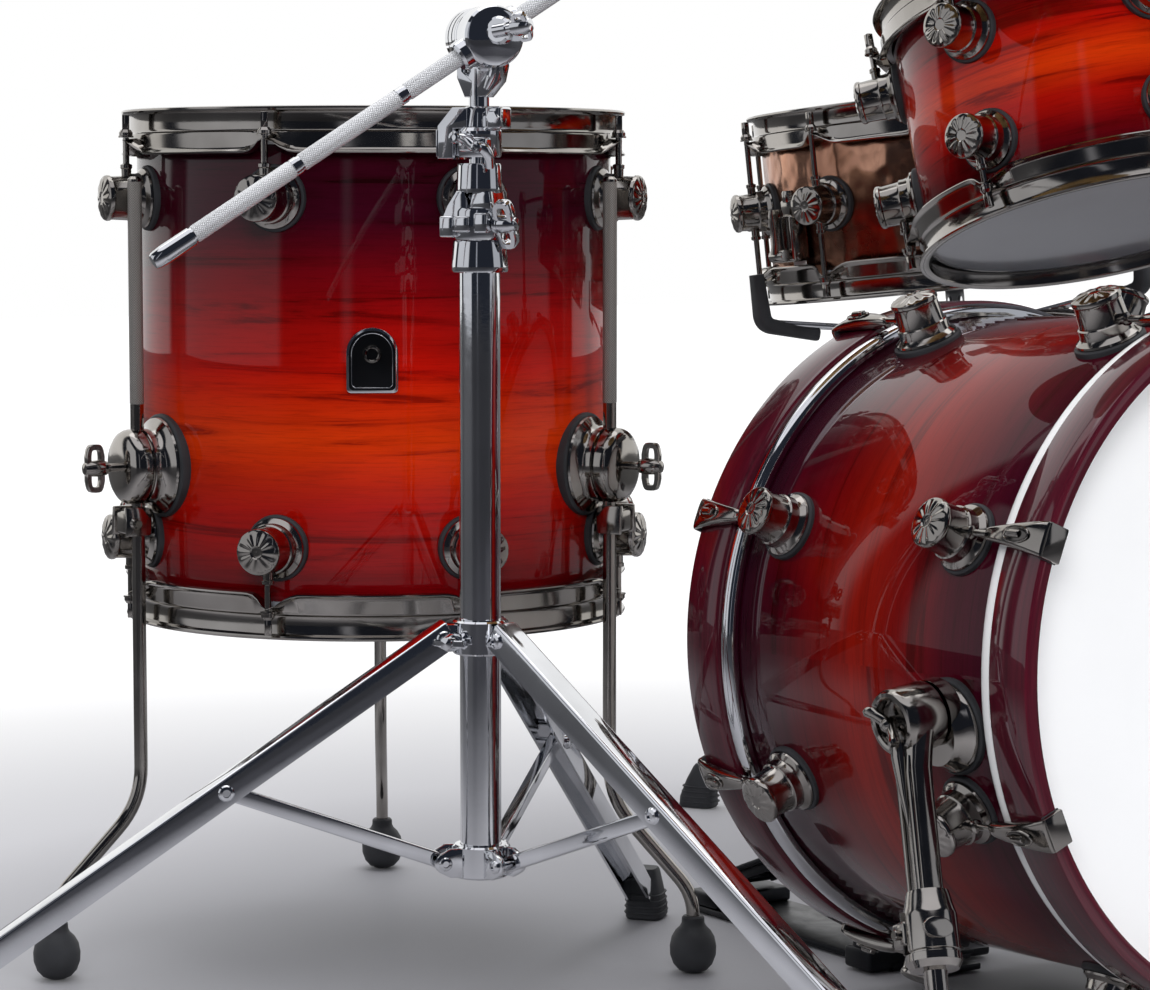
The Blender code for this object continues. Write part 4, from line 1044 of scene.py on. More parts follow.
def spur(name):
    """A spur on its round bracket: knuckle, ribbed arm, clamp collar, and a tip rod with a rubber end."""
    at, out = pivot(f"{name}_spur_fold"), axis_of(f"{name}_spur_fold")
    down = axis_of(f"{name}_spur_reach")
    foot_world = at + down * (at.z / -down.z)
    lift = (UP - out * out.z).normalized() * SPUR_LIFT
    base = axes_frame(at - lift - out * SPUR_OUT, down, out)
    metal_form, rubber_form = Form(), Form()
    rubber_form.lathe(
        mm((29, -4), (35, -4), (35.8, 0.8), (35.4, 2.8), (34, 4), (29, 4)), 64, base, closed=True
    )
    bell = mm((29, 2), (32.6, 3.4), (33.2, 5), (32.8, 6.6), (31.6, 8.4), (29.6, 11), (27.2, 15))
    bell += mm((26.2, 18), (25, 20), (0, 20.5))
    metal_form.lathe(bell, 72, base)
    metal_form.lathe(
        mm((0, -30), (23.2, -30), (24, -28.5), (24, -18), (0, -18)), 56, axes_frame(at, down, out)
    )
    metal_form.piece(f"{name}_spur_bracket", NICKEL, "kit", sharp=28)
    rubber_form.piece(f"{name}_spur_gasket", RUBBER, "kit")

    arm, dark = Form(), Form()
    hub = axes_frame(at, down, out)
    drum = mm((0, -16.2), (22.8, -16.2), (24.3, -14.5), (24.6, -12), (24.6, 13), (24, 15.8), (22.4, 17.8))
    drum += mm((19.6, 18.4), (17.6, 17.6), (16.8, 15), (16.6, 10), (0, 10))
    arm.lathe(drum, 64, hub)
    # A dark nickel disc in the hub's recess: painted shade.
    dark.lathe(mm((0, 10.2), (16, 10.2), (15, 11.8), (7, 12.8), (0, 12.8)), 40, hub)
    tee(arm, hub @ shift(0, 0, 0.0118) @ Matrix.Rotation(0.5, 4, "Z"), 0.034)
    across = out.cross(down).normalized()
    hang = exact_frame(at, down, across, down.cross(across))
    end = SPUR_ARM + 0.006
    stations = mm((4, 45, -12, 11.5), (14, 41, -11.8, 11.5), (26, 30, -11.2, 11), (38, 24, -10.6, 10.6))
    stations += [
        (0.06, 0.0226, -0.0104, 0.0104), (SPUR_ARM - 0.006, 0.0222, -0.0102, 0.0104),
        (end, 0.023, -0.0106, 0.0108)
    ]
    loft(arm, hang, stations, 28, 2.8)
    for y in (-0.0068, 0.0068):
        rib = ((0.03, y * 1.2, 0.0098), (0.042, y, 0.0102), (0.09, y, 0.01), (SPUR_ARM, y, 0.01))
        arm.sweep(rib, [0.0016, 0.002, 0.0019, 0.0016], 10, hang)
    ridge = mm((18, 0, 11.5), (30, 0, 12.2), (56, 0, 10.8), (80, 0, 9.8))
    arm.sweep(ridge, [0.006, 0.006, 0.004, 0.001], 14, hang)
    collar = axes_frame(at + down * (SPUR_ARM - 0.002), out, down)
    rings = mm((8.5, 0), (15, 0), (15.8, 3), (17.2, 10), (18.6, 15), (19.2, 17.2), (19.2, 42), (18.2, 43))
    rings += mm((18.2, 44), (19.6, 44.6), (19.8, 50), (18.6, 52), (17.2, 55), (8.5, 56))
    arm.lathe(rings, 64, collar, closed=True)
    dark.block((0.006, 0.0018, 0.03), collar @ shift(0.0172, 0.006, 0.029), 0.0002)
    arm.block((0.0085, 0.016, 0.018), collar @ shift(0.0165, 0.0105, 0.029), 0.0024, 3)
    lens = collar @ shift(0.006, -0.0178, 0.029) @ spin(90, "X") @ spin(90, "Z")
    arm.slab(oval(0.015, 0.024, 28, 2.2), 0.0034, lens, 0.001)
    arm.rod((0.0175, 0.0105, 0.029), (0.0245, 0.0105, 0.029), 0.0038, 16, place=collar)
    arm.stand_in(f"{name}_spur_arm", NICKEL, f"{name}_spur", sharp=30)
    dark.piece(f"{name}_spur_recess_shade_and_strip", NICKEL_DARK, f"{name}_spur")

    tip, tread = Form(), Form()
    end = axes_frame(foot_world, out, -down)
    length = (foot_world - at).length
    top = length - SPUR_ROD_TOP
    tip.lathe(
        [
            (0, 0.03), (0.0076, 0.03), (0.0083, 0.031), (0.0083, top - 0.002), (0.0072, top - 0.0005),
            (0, top - 0.0005)
        ],
        32, end
    )
    tip.lathe(
        mm((8.5, 46), (11.2, 46), (11.8, 48), (11.8, 55), (11, 57), (8.5, 57)), 32, end, closed=True
    )
    tread.lathe(
        mm((0, 8.5), (8, 9), (11.2, 12), (12.2, 17.5), (12, 35), (10.4, 40), (8.6, 41.5), (0, 41.5)),
        36, end
    )
    for k in range(4):
        tread.lathe(
            moved(0, 0.004 * k, (11.8, 18.5), (12.8, 19), (12.8, 20.2), (11.8, 20.7)), 36, end,
            closed=True
        )
    tip.stand_in(f"{name}_spur_rod", NICKEL, f"{name}_spur_tip")
    tread.piece(f"{name}_spur_foot", RUBBER, f"{name}_spur_tip")


def tom_holder():
    """The clamp on the bass drum, the post in it, and the arm that carries the rack tom."""
    knuckle = pivot("rack_tom_tilt")
    axis = shift(knuckle.x, knuckle.y, 0)
    clamp, rubber_form = Form(), Form()
    rubber_form.lathe(mm((28, 508), (34.5, 508), (35, 530), (34, 538), (28, 538)), 48, axis, closed=True)
    base = mm((27, 515), (32.2, 536), (32.8, 541), (31.6, 545), (27, 549), (24, 553), (22.8, 560))
    base += mm((22.4, 583), (21.2, 588), (19, 590), (10.4, 590), (10, 588), (10, 515))
    clamp.lathe(base, 56, axis, closed=True)
    clamp.block((0.02, 0.026, 0.024), axis @ shift(0.024, 0, 0.572), 0.003, 3)
    wing(clamp, axis @ shift(0.034, 0, 0.572) @ spin(90, "Y"), 0.034, 0.016, 0.0028, 0.012)
    clamp.piece("tom_holder_clamp", NICKEL, "kit")
    rubber_form.piece("tom_holder_gasket", RUBBER, "kit")

    post = Form()
    post.lathe(
        [
            (0, 0.442), (0.0085, 0.442), (0.0095, 0.444), (0.0095, knuckle.z - 0.018),
            (0, knuckle.z - 0.018)
        ],
        36, axis
    )
    lock = mm((9.7, 602), (15, 602), (16, 605), (16, 613), (15, 616), (9.7, 616))
    post.lathe(lock, 36, axis, closed=True)
    ball = axes_frame(knuckle, (0, 0, 1), (1, 0, 0))
    post.lathe(mm((0, -17), (18, -17), (20, -15), (20, 15), (18, 17), (0, 17)), 44, ball)
    post.lathe(
        mm((0, 0), (12, 0), (13.5, 4), (13.5, 14), (0, 14)), 32,
        Matrix.Translation(knuckle - Vector((0, 0, 0.03)))
    )
    tee(post, ball @ shift(0, 0, 0.0165), 0.034)
    post.stand_in("tom_post_rod", NICKEL, "tom_post")

    arm, metal_form, gasket = Form(), Form(), Form()
    side = around(RACK_BRACKET_ANGLE)
    corner = rack.place @ (side * (rack.radius + 0.075))
    start = knuckle + (corner - knuckle).normalized() * 0.021
    arm.sweep(rounded([start, corner, rack.place @ (side * (rack.radius + 0.028))], 0.018, 8), 0.0055, 18)
    arm.piece("rack_tom_arm", NICKEL, "rack_tom", replaced=["tom_arm"])
    bracket(metal_form, gasket, rack.at(RACK_BRACKET_ANGLE, 0), 0.0245, 0.03)
    metal_form.piece("rack_tom_bracket", NICKEL, "rack_tom", rack.place, sharp=28)
    gasket.piece("rack_tom_bracket_gasket", RUBBER, "rack_tom", rack.place)


spur("left")
spur("right")
tom_holder()


# Tripods. Each leg is a channel of folded steel and each brace runs inside it.

BRACE_AT = 0.365  # of the leg's length, from its hinge
FOOT_Z = 0.012
CLAMP_TURN = -58


def channel(form, place, start, end, wide, high, wall):
    """A channel along X, open below, with rounded shoulders."""
    w, s = wide / 2, wall * 1.2
    outer = [(-w, -high / 2), (-w, high / 2 - s)] + arc((-w + s, high / 2 - s), s, 180, 90, 4)[1:]
    outer += arc((w - s, high / 2 - s), s, 90, 0, 4) + [(w, -high / 2)]
    inner = [
        (w - wall, -high / 2), (w - wall, high / 2 - wall), (-w + wall, high / 2 - wall),
        (-w + wall, -high / 2)
    ]
    section = outer + inner
    rows = [
        [place @ Vector((x, y, z)) for y, z in section]
        for x in (start, start + 0.001, end - 0.001, end)
    ]
    for row, grow in ((rows[0], 0.94), (rows[3], 0.94)):
        centre = sum(row, Vector()) / len(row)
        for k, p in enumerate(row):
            row[k] = centre + (p - centre) * grow
    form.grid(rows, cap=True, vs=[0, 0.001, end - start, end - start + 0.001])


def facing_up(vector):
    return vector if vector.z > 0 else -vector


def tripod(stand, tube, collar_out, spread, rail):
    """Legs and braces of one stand. rail is a leg's width, height and wall. Returns the collars' forms."""
    wide, high, wall = rail
    centre = sum((pivot(f"{stand}_leg_{k}") for k in LEGS), Vector()) / len(LEGS)
    low_centre = Vector((centre.x, centre.y, pivot(f"{stand}_brace_1").z))
    high_form, low_form = Form(), Form()
    for form, at, tall in ((high_form, centre, 0.013), (low_form, low_centre, 0.0125)):
        collar = moved(tube, -tall, (0.4, 0), (4.2, 0), (5.6, 1.4))
        collar += moved(tube, tall, (5.6, -1.4), (4.2, 0), (0.4, 0))
        form.lathe(collar, 56, Matrix.Translation(at), closed=True)
    for k in LEGS:
        hinge = pivot(f"{stand}_leg_{k}")
        out = Vector((hinge.x - centre.x, hinge.y - centre.y, 0)).normalized()
        across = Vector((-out.y, out.x, 0))
        clevis(high_form, centre, out, collar_out, tube, wide - 2 * wall - 0.0026, 0.02)
        clevis(low_form, low_centre, out, collar_out, tube, wide - 2 * wall - 0.0026, 0.022, forked=0.011)
        foot = centre + out * spread
        foot.z = FOOT_Z
        along = (foot - hinge).normalized()
        up = facing_up(across.cross(along))
        place = exact_frame(hinge, along, up.cross(along), up)
        length = (foot - hinge).length
        leg, feet = Form(), Form()
        channel(leg, place, -0.008, length - 0.024, wide, high, wall)
        for x in (0.0, length * BRACE_AT):
            for side in (1, -1):
                head = place @ shift(x, side * (wide / 2 - 0.0004), 0) @ spin(-90 * side, "X")
                bolt(leg, head, 0.0062, 0.0034)
            leg.rod((x, -wide / 2, 0), (x, wide / 2, 0), 0.0028, 14, place=place)
        leg.stand_in(f"{stand}_leg_{k}_channel", CHROME, f"{stand}_leg_{k}", slot="chrome", sharp=30)
        rubber_foot(feet, axes_frame((foot.x, foot.y, 0), out, UP), wide)
        feet.piece(f"{stand}_leg_{k}_foot", RUBBER, f"{stand}_leg_{k}", slot="chrome")
        low = pivot(f"{stand}_brace_{k}")
        reach = hinge + along * (length * BRACE_AT) - low
        b_along = reach.normalized()
        b_up = facing_up(across.cross(b_along))
        b_place = exact_frame(low, b_along, b_up.cross(b_along), b_up)
        brace = Form()
        inner = wide - 2 * wall - 0.003
        half = 0.0058
        slim, full = (inner * 0.55, -half * 0.6, half * 0.6), (inner * 0.6, -half, half)
        far = reach.length
        stations = [(-0.0052, *slim), (-0.003, *full), (far + 0.003, *full), (far + 0.0056, *slim)]
        loft(brace, b_place, stations, 32, 12.0)
        brace.stand_in(f"{stand}_brace_{k}_strip", CHROME, f"{stand}_brace_{k}", slot="chrome")
    return centre, high_form, low_form


def clevis(form, centre, out, reach, tube, gap, tall, forked=0.0):
    """Ears on a collar that hold a pivot pin. Forked ears stand either side of the brace."""
    across = Vector((-out.y, out.x, 0))
    place = axes_frame(centre, out, UP)
    thick = 0.004 if forked else gap * 0.8
    half, edge = tall / 2, reach - 0.004
    tip = arc((reach, 0), tall * 0.36, -70, 70, 8)
    outline = [(tube * 0.9, -half), (edge, -half), *tip, (edge, half), (tube * 0.9, half)]
    for side in (1, -1) if forked else (0,):
        y = side * (forked / 2 + 0.005)
        at = place @ shift(0, y, 0) @ spin(90, "X")
        form.slab(outline, thick, at, 0.0008)
        if forked:
            bolt(form, place @ shift(reach, y + side * 0.0018, 0) @ spin(-90 * side, "X"), 0.0052, 0.003)
    if forked:
        form.rod((reach, -0.01, 0), (reach, 0.01, 0), 0.003, 14, place=place)


def rubber_foot(form, place, wide):
    """A ribbed rubber boot over the end of a leg. X points outwards."""
    w = wide / 0.022
    boot = mm((0.4, 32, -20, 16), (2.4, 34, -21.5, 17.5), (12, 33.5, -21, 16.5))
    boot += mm((30, 29, -22, 9.5), (44, 26.2, -23.5, 2), (47, 24, -22.5, -0.5))
    stations = [(x, across * w, low, high) for x, across, low, high in boot]
    turn = place @ SWAP_XZ
    loft(form, turn, stations, 32, 4.0)
    for k in range(4):
        z = 0.0065 + 0.0055 * k
        ring = [
            turn @ Vector((z, y, x - 0.003 - 0.07 * z)) for x,
            y in oval(0.0395 - 0.16 * z, 0.035 * w - 0.12 * z, 40, 4.0)
        ]
        loop(form, ring, 0.0009, 8)


def upright_slab(form, place, outline, deep):
    """A slab seen from the front: its outline is in X and Z, and its thickness runs along Y."""
    form.slab(outline, deep, place @ spin(90, "X"), 0.0014)


def lower_clamp(form, place):
    """The split clamp above the stand tube: a pitched cover at one side, a wing screw at the other."""
    cover = mm((-22.2, 3), (-22.2, 18.5), (-18.5, 26.5), (-11, 37.2), (-4.5, 37.2), (-2, 30), (-2, 3))
    upright_slab(form, place @ shift(0, -0.001, 0), cover, 0.032)
    upright_slab(form, place, mm((-3, 23), (2.2, 36.8), (15.2, 36.8), (17.4, 23)), 0.029)
    form.lathe(
        mm((13, 1), (19, 1), (19.8, 3), (19.8, 22), (18.6, 24.5), (15, 25), (13, 25)), 56, place,
        closed=True
    )
    for x, wide, z, tall, y in (
        (-0.017, 0.012, 0.0105, 0.016, -0.017), (-0.004, 0.0125, 0.0125, 0.012, -0.0185),
        (0.01, 0.011, 0.0135, 0.015, -0.015)
    ):
        form.block((wide, 0.01, tall), place @ shift(x, y, z), 0.0018, 3)
    screw = place @ shift(0.016, -0.006, 0.0125) @ spin(90, "Y")
    form.lathe(mm((0, 0), (6.8, 0), (7.4, 1.4), (7.4, 3.6), (0, 4)), 28, screw)
    wing(form, screw @ shift(0, 0, 0.001) @ Matrix.Rotation(0.42, 4, "Z"), 0.038, 0.0155, 0.0046, 0.0015)


def upper_clamp(form, place):
    """The split clamp on the middle tube: ear, tapered socket, bolt block and hooked lever."""
    ear = mm((-28.2, 2.2), (-28.2, 27), (-16.2, 40.5), (-3, 40.5), (-3, 24.5), (-15, 24.5), (-15, 2.2))
    upright_slab(form, place @ shift(0, -0.002, 0), ear, 0.024)
    form.block((0.0012, 0.0245, 0.02), place @ shift(-0.0285, -0.002, 0.014), 0.0004)
    form.lathe(
        mm(
            (0, 3.5), (16, 3.5), (17, 5.5), (17, 23), (15, 25.5), (12.8, 26.2), (11.2, 39.5),
            (10, 41.2), (0, 41.2)
        ),
        56, place
    )
    form.block((0.013, 0.02, 0.017), place @ shift(0.018, -0.004, 0.0325), 0.0022, 3)
    hexed = place @ shift(0.019, -0.0145, 0.033) @ spin(90, "X")
    form.lathe(mm((0, 0), (5.2, 0), (5.2, 2.6), (4.4, 3.4), (0, 3.4)), 6, hexed)
    form.block((0.023, 0.012, 0.011), place @ shift(0.004, -0.015, 0.013), 0.0024, 3)
    path = rounded(
        mm(
            (-9.5, -22.5, 18), (1, -23.5, 17.5), (7.5, -23.5, 11), (15, -22.5, 10.5), (17.8, -19, 4),
            (16.5, -15, -4)
        ),
        0.006, 5
    )
    last = len(path) - 1
    form.sweep(path, [0.0034 + 0.0012 * math.sin(math.pi * k / last) for k in range(last + 1)], 14, place)
    for x, z in ((-0.0075, 0.018), (0.011, 0.0108)):
        bolt(form, place @ shift(x, -0.0255, z) @ spin(90, "X"), 0.0046, 0.003)


def clamp_frame(at):
    """Clamps open towards the front left, square to the boom."""
    return Matrix.Translation(at) @ spin(CLAMP_TURN, "Z")


STAND_TUBE, MID_TUBE, TOP_TUBE = 0.0156, 0.0127, 0.0078
TUBE_LOW, TUBE_TOP = 0.13, 0.59


def boom_stand():
    centre, high_form, low_form = tripod("boom_stand", STAND_TUBE, 0.03, 0.485, (0.022, 0.02, 0.0022))
    axis = shift(centre.x, centre.y, 0)
    wing(
        high_form,
        clamp_frame(centre + Vector((0, 0, -0.002))) @ shift(-0.01, -0.018, 0) @ spin(90, "X"), 0.026,
        0.014, 0.0026, 0.006
    )
    high_form.stand_in(
        "boom_stand_slide_collar", CHROME, "boom_stand_leg_collar", slot="chrome", sharp=30
    )
    low_form.piece("boom_stand_low_collar", CHROME, "kit", slot="chrome", sharp=30)
    tube = Form()
    tube.lathe(socket_tube(STAND_TUBE, TUBE_LOW, TUBE_TOP, MID_TUBE + 0.0002, 0.05), 72, axis)
    tube.piece("boom_stand_main_tube", CHROME, "kit", replaced=["boom_stand_tube"], slot="chrome")

    mid = Form()
    skirt = mm(
        (13.2, 590.7), (21.2, 590.7), (21.7, 592), (21.5, 596), (20, 613), (19.2, 614.5),
        (13.2, 614.5)
    )
    mid.lathe(skirt, 64, axis, closed=True)
    lower_clamp(mid, clamp_frame(Vector((centre.x, centre.y, 0.614))))
    mid.lathe(
        mm(
            (10.4, 650), (16.8, 650), (17.2, 653.5), (17, 655.5), (16.5, 670), (15.8, 671.7),
            (10.4, 671.7)
        ),
        56, axis, closed=True
    )
    mid.lathe(
        [(0.0103, TUBE_LOW + 0.032), (MID_TUBE, TUBE_LOW + 0.032), (MID_TUBE, 0.6), (0.0103, 0.6)],
        48, axis, closed=True
    )
    mid.stand_in("boom_stand_lower_clamp", CHROME, "boom_stand_mid_tube", slot="chrome", sharp=30)

    top = Form()
    upper_clamp(top, clamp_frame(Vector((centre.x, centre.y, 0.6728))))
    top.lathe(pin(TOP_TUBE, TUBE_LOW + 0.042, 0.742), 40, axis)
    tilt_at = pivot("boom_tilt")
    side = axis_of("boom_tilt")
    yoke(top, tilt_at, side, Vector((centre.x, centre.y, 0)))
    top.stand_in("boom_stand_upper_clamp", CHROME, "boom_stand_top_tube", slot="chrome", sharp=30)
    boom(tilt_at, side)


def yoke(form, at, side, foot):
    """The C-shaped casting that joins the top tube to the fixed half of the ratchet."""
    front = clamp_frame(foot)
    c_shape = mm((-8.8, 721), (-15, 735), (-15.4, 744), (-9.2, 744), (-8.8, 740), (-5, 737.5), (-2, 743))
    c_shape += mm((-2, 760), (21.5, 764), (22.2, 744), (19.5, 732.5), (12, 724), (9, 721))
    upright_slab(form, front, c_shape, 0.015)
    web = rounded(mm((10, -8, 727), (16.5, -8.5, 740), (15, -8.5, 758)), 0.008, 6)
    form.sweep(web, [0.0022, *([0.0034] * (len(web) - 2)), 0.002], 12, front)
    wheel = axes_frame(at, UP, side)
    ratchet = mm(
        (0, -8.8), (20.5, -8.8), (22.2, -7.2), (22.6, -4), (21.6, -3.4), (21.6, -2.6), (22.6, -2)
    )
    ratchet += mm(
        (22.6, 4), (21.6, 4.6), (21.6, 5.4), (22.6, 6), (22.6, 12), (20.5, 15), (15, 16.2), (0, 16.4)
    )
    form.lathe(ratchet, 56, wheel)


# The boom rod: its reach behind and ahead of the tilter, and how far it runs beside it.
BOOM_BEHIND, BOOM_AHEAD, BOOM_RADIUS, BOOM_OFFSET = 0.305, 0.4, 0.00635, 0.024


def boom(at, side):
    along = axis_of("boom_slide")
    wheel = axes_frame(at, UP, -side)
    tilter = Form()
    shape = mm(
        (0, 9.4), (21.4, 9.4), (23, 11), (23, 13.8), (22.2, 14.6), (23, 15.4), (23, 34), (21.6, 36.2),
        (18.5, 37.8), (0, 38.4)
    )
    tilter.lathe(shape, 64, wheel)
    grip = axes_frame(at - side * BOOM_OFFSET, side, along)
    tilter.lathe(
        mm((7, -30), (9.8, -30), (11.2, -28), (11.8, -18), (11.8, 24), (10.4, 26.5), (7, 26.5)), 36,
        grip, closed=True
    )
    boss = clamp_frame(at - side * 0.037) @ shift(0.004, 0, 0.004)
    tilter.lathe(mm((0, -2), (10.4, -2), (10.4, 3), (8.6, 5.2), (0, 5.6)), 32, boss @ spin(90, "X"))
    screw = boss @ shift(0.004, -0.006, 0.0) @ spin(82, "Y")
    tilter.lathe(pin(0.005, -0.006, 0.004), 20, screw)
    wing(tilter, screw @ Matrix.Rotation(0.6, 4, "Z"), 0.024, 0.012, 0.003, 0.012)
    tilter.stand_in("boom_ratchet", CHROME, "boom_tilter", slot="chrome", sharp=30)

    rod, knurl = Form(), Form()
    place = axes_frame(at - side * BOOM_OFFSET, side, along)
    rod.lathe(moved(0, -BOOM_BEHIND, (0, 0), (5.2, 0), (6.4, 2), (7.2, 10), (7, 34), (0, 34)), 32, place)
    rod.lathe(pin(0.006, -BOOM_BEHIND + 0.03, BOOM_AHEAD - 0.006), 32, place)
    start = -BOOM_BEHIND + 0.036
    segment, ring = 0.088, 0.008
    while start < BOOM_AHEAD - 0.03:
        end = min(start + segment, BOOM_AHEAD - 0.022)
        knurl.sweep(
            [(0, 0, start), (0, 0, start + 0.001), (0, 0, end - 0.001), (0, 0, end)],
            [0.006, BOOM_RADIUS + 0.0003, BOOM_RADIUS + 0.0003, 0.006], 28, place
        )
        z = start - ring / 2 - 0.001
        rod.lathe(moved(0, z, (5.5, -3), (6.6, -2.6), (6.6, 2.6), (5.5, 3)), 32, place, closed=True)
        start = end + ring
    tip = at - side * BOOM_OFFSET + along * (BOOM_AHEAD - 0.004)
    up = cymbal_up()
    stem = axes_frame(tip, along, up)
    rod.lathe(
        mm(
            (0, -11), (9.6, -11), (11.2, -8.5), (11.2, 14), (9.8, 17.5), (6.2, 19), (5.8, 30),
            (3.8, 31.5), (3.8, 74), (2.6, 75.5), (0, 75.5)
        ),
        32, stem
    )
    wing(rod, stem @ shift(0.01, 0, 0.002) @ spin(90, "Y"), 0.028, 0.014, 0.0024, 0.004)
    rod.stand_in("boom_arm", CHROME, "boom_rod", slot="chrome")
    knurl.piece("boom_arm_knurl", KNURL_CHROME, "boom_rod", slot="chrome")
    cymbal(stem, up)


def cymbal_up():
    flat = axis_of("cymbal_tip")
    return (UP * math.cos(math.radians(12)) - flat.cross(UP) * math.sin(math.radians(12))).normalized()


def cymbal(stem, up):
    at = pivot("cymbal_tip")
    place = axes_frame(at, axis_of("cymbal_tip"), up)
    radius, thick = 8 * INCH, 0.0012
    bell = radius * 0.27
    curve = [(0.0064, 0.0)] + [
        (0.0064 + (bell * 0.93 - 0.0064) * k / 8, -0.0135 * (k / 8) ** 2) for k in range(1, 9)
    ]
    curve += [(bell * 1.02, -0.015), (bell * 1.25, -0.0168)] + [
        (bell * 1.25 + (radius - bell * 1.25) * k / 10, -0.0168 - 0.0155 * (k / 10) ** 1.25)
        for k in range(1, 11)
    ]
    over = [(x, z + thick + 0.0002) for x, z in curve]
    form = Form().lathe(curve + over[::-1], 128, closed=True)
    form.stand_in("cymbal_bow", BRONZE, "cymbal", place, slot="cymbal_bronze", sharp=50)
    felts, nut = Form(), Form()
    for low, high, r in ((-0.0115, -0.0036, 0.013), (0.0046, 0.0125, 0.013)):
        felts.lathe(
            [
                (0.004, low), (r - 0.002, low), (r, low + 0.002), (r, high - 0.002),
                (r - 0.002, high), (0.004, high)
            ],
            40, stem @ shift(0, 0, 0.04), closed=True
        )
    wing(nut, stem @ shift(0, 0, 0.054), 0.03, 0.012, 0.0024, 0.004)
    nut.lathe(mm((3.9, 0), (8, 0), (8, 3), (6, 6), (3.9, 6)), 28, stem @ shift(0, 0, 0.0528), closed=True)
    felts.piece("cymbal_felts", FELT, "boom_rod", slot="cymbal_bronze")
    nut.piece("cymbal_wing_nut", CHROME, "boom_rod", slot="chrome")


boom_stand()


# Snare drum's strainer, wires and basket, and its stand.

STRAINER_ANGLE, STRAINER_Z = -92, -0.03
BASKET_ARMS, BASKET_OUT, BASKET_BELOW = (-100, 20, 140), 0.2175, 0.06


def snare_fittings():
    place = snare.at(STRAINER_ANGLE, STRAINER_Z)
    box, strap = Form(), Form()
    box.block((0.046, 0.03, 0.02), place @ shift(0, 0, 0.012), 0.0032, 3)
    box.block((0.016, 0.022, 0.01), place @ shift(0.03, 0, 0.01), 0.0024, 3)
    box.lathe(
        mm((0, 0), (6.2, 0), (6.6, 2), (6.6, 9), (5.6, 11), (0, 11)), 24,
        place @ shift(0.036, 0, 0.011) @ spin(90, "Y")
    )
    box.rod((-0.018, -0.018, 0.016), (-0.018, 0.018, 0.016), 0.0036, 16, place=place)
    box.piece("snare_strainer", NICKEL, "snare_drum", snare.place, sharp=30)
    butt = snare.at(STRAINER_ANGLE + 180, STRAINER_Z)
    end = Form()
    end.block((0.03, 0.03, 0.014), butt @ shift(0, 0, 0.009), 0.0028, 3)
    for y in (-0.008, 0.008):
        bolt(end, butt @ shift(0, y, 0.0155), 0.004, 0.003)
    end.piece("snare_butt_plate", NICKEL, "snare_drum", snare.place, sharp=30)
    low = -snare.depth / 2 - 0.003
    for angle in (STRAINER_ANGLE, STRAINER_ANGLE + 180):
        out = around(angle)
        across = Vector((-out.y, out.x, 0))
        path = [
            out * 0.125 + UP * low, out * (snare.radius - 0.004) + UP * (low - 0.0004),
            out * (snare.radius + 0.0045) + UP * (low + 0.01),
            out * (snare.radius + 0.0052) + UP * (STRAINER_Z - 0.01)
        ]
        path = rounded(path, 0.01, 5)
        rows = []
        for k, p in enumerate(path):
            along = (path[min(k + 1, len(path) - 1)] - path[max(k - 1, 0)]).normalized()
            face = along.cross(across).normalized()
            rows.append(
                [
                    p + across * (0.0105 * sx) + face * (0.00035 * sy) for sx,
                    sy in ((-1, -1), (1, -1), (1, 1), (-1, 1))
                ]
            )
        strap.grid(rows, cap=True)
    strap.piece("snare_straps", WHITE_RING, "snare_drum", snare.place, slot="coated_head")
    wires, plates = Form(), Form()
    out = around(STRAINER_ANGLE)
    across = Vector((-out.y, out.x, 0))
    for k in range(20):
        y = across * (-0.0195 + 0.039 * k / 19) + UP * (low - 0.001)
        wires.sweep([out * -0.12 + y, out * 0.12 + y], 0.0008, 6)
    for side in (1, -1):
        plates.block(
            (0.0022, 0.042, 0.0022),
            axes_frame(
                out * (0.1235 * side) + UP * (low - 0.0008), out, UP
            ) @ Matrix.Diagonal((3.0, 1, 1, 1)),
            0.0004
        )
    wires.piece(
        "snare_wire_strands", STEEL, "snare_drum", snare.place, ["snare_wires"], slot="snare_steel"
    )
    plates.piece("snare_wire_plates", NICKEL, "snare_drum", snare.place, slot="snare_steel")

    lever = Form()
    hinge = axes_frame(pivot("snare_strainer"), snare.place.to_3x3() @ UP, axis_of("snare_strainer"))
    lever.lathe(
        mm((0, -11.5), (5.5, -11.5), (6.2, -10.5), (6.2, 10.5), (5.5, 11.5), (0, 11.5)), 28, hinge
    )
    flip = Matrix(((1, 0, 0, 0), (0, 0, -1, 0), (0, 1, 0, 0), (0, 0, 0, 1)))
    loft(
        lever, hinge @ flip,
        mm(
            (2, 8, -10, 10), (12, 7.2, -7.8, 7.8), (30, 6.6, -7.4, 7.4), (40, 7, -8.2, 8.2),
            (45.5, 5.8, -7, 7)
        ),
        24, 3.0
    )
    lever.stand_in("snare_throw_lever", NICKEL, "snare_strainer_lever")


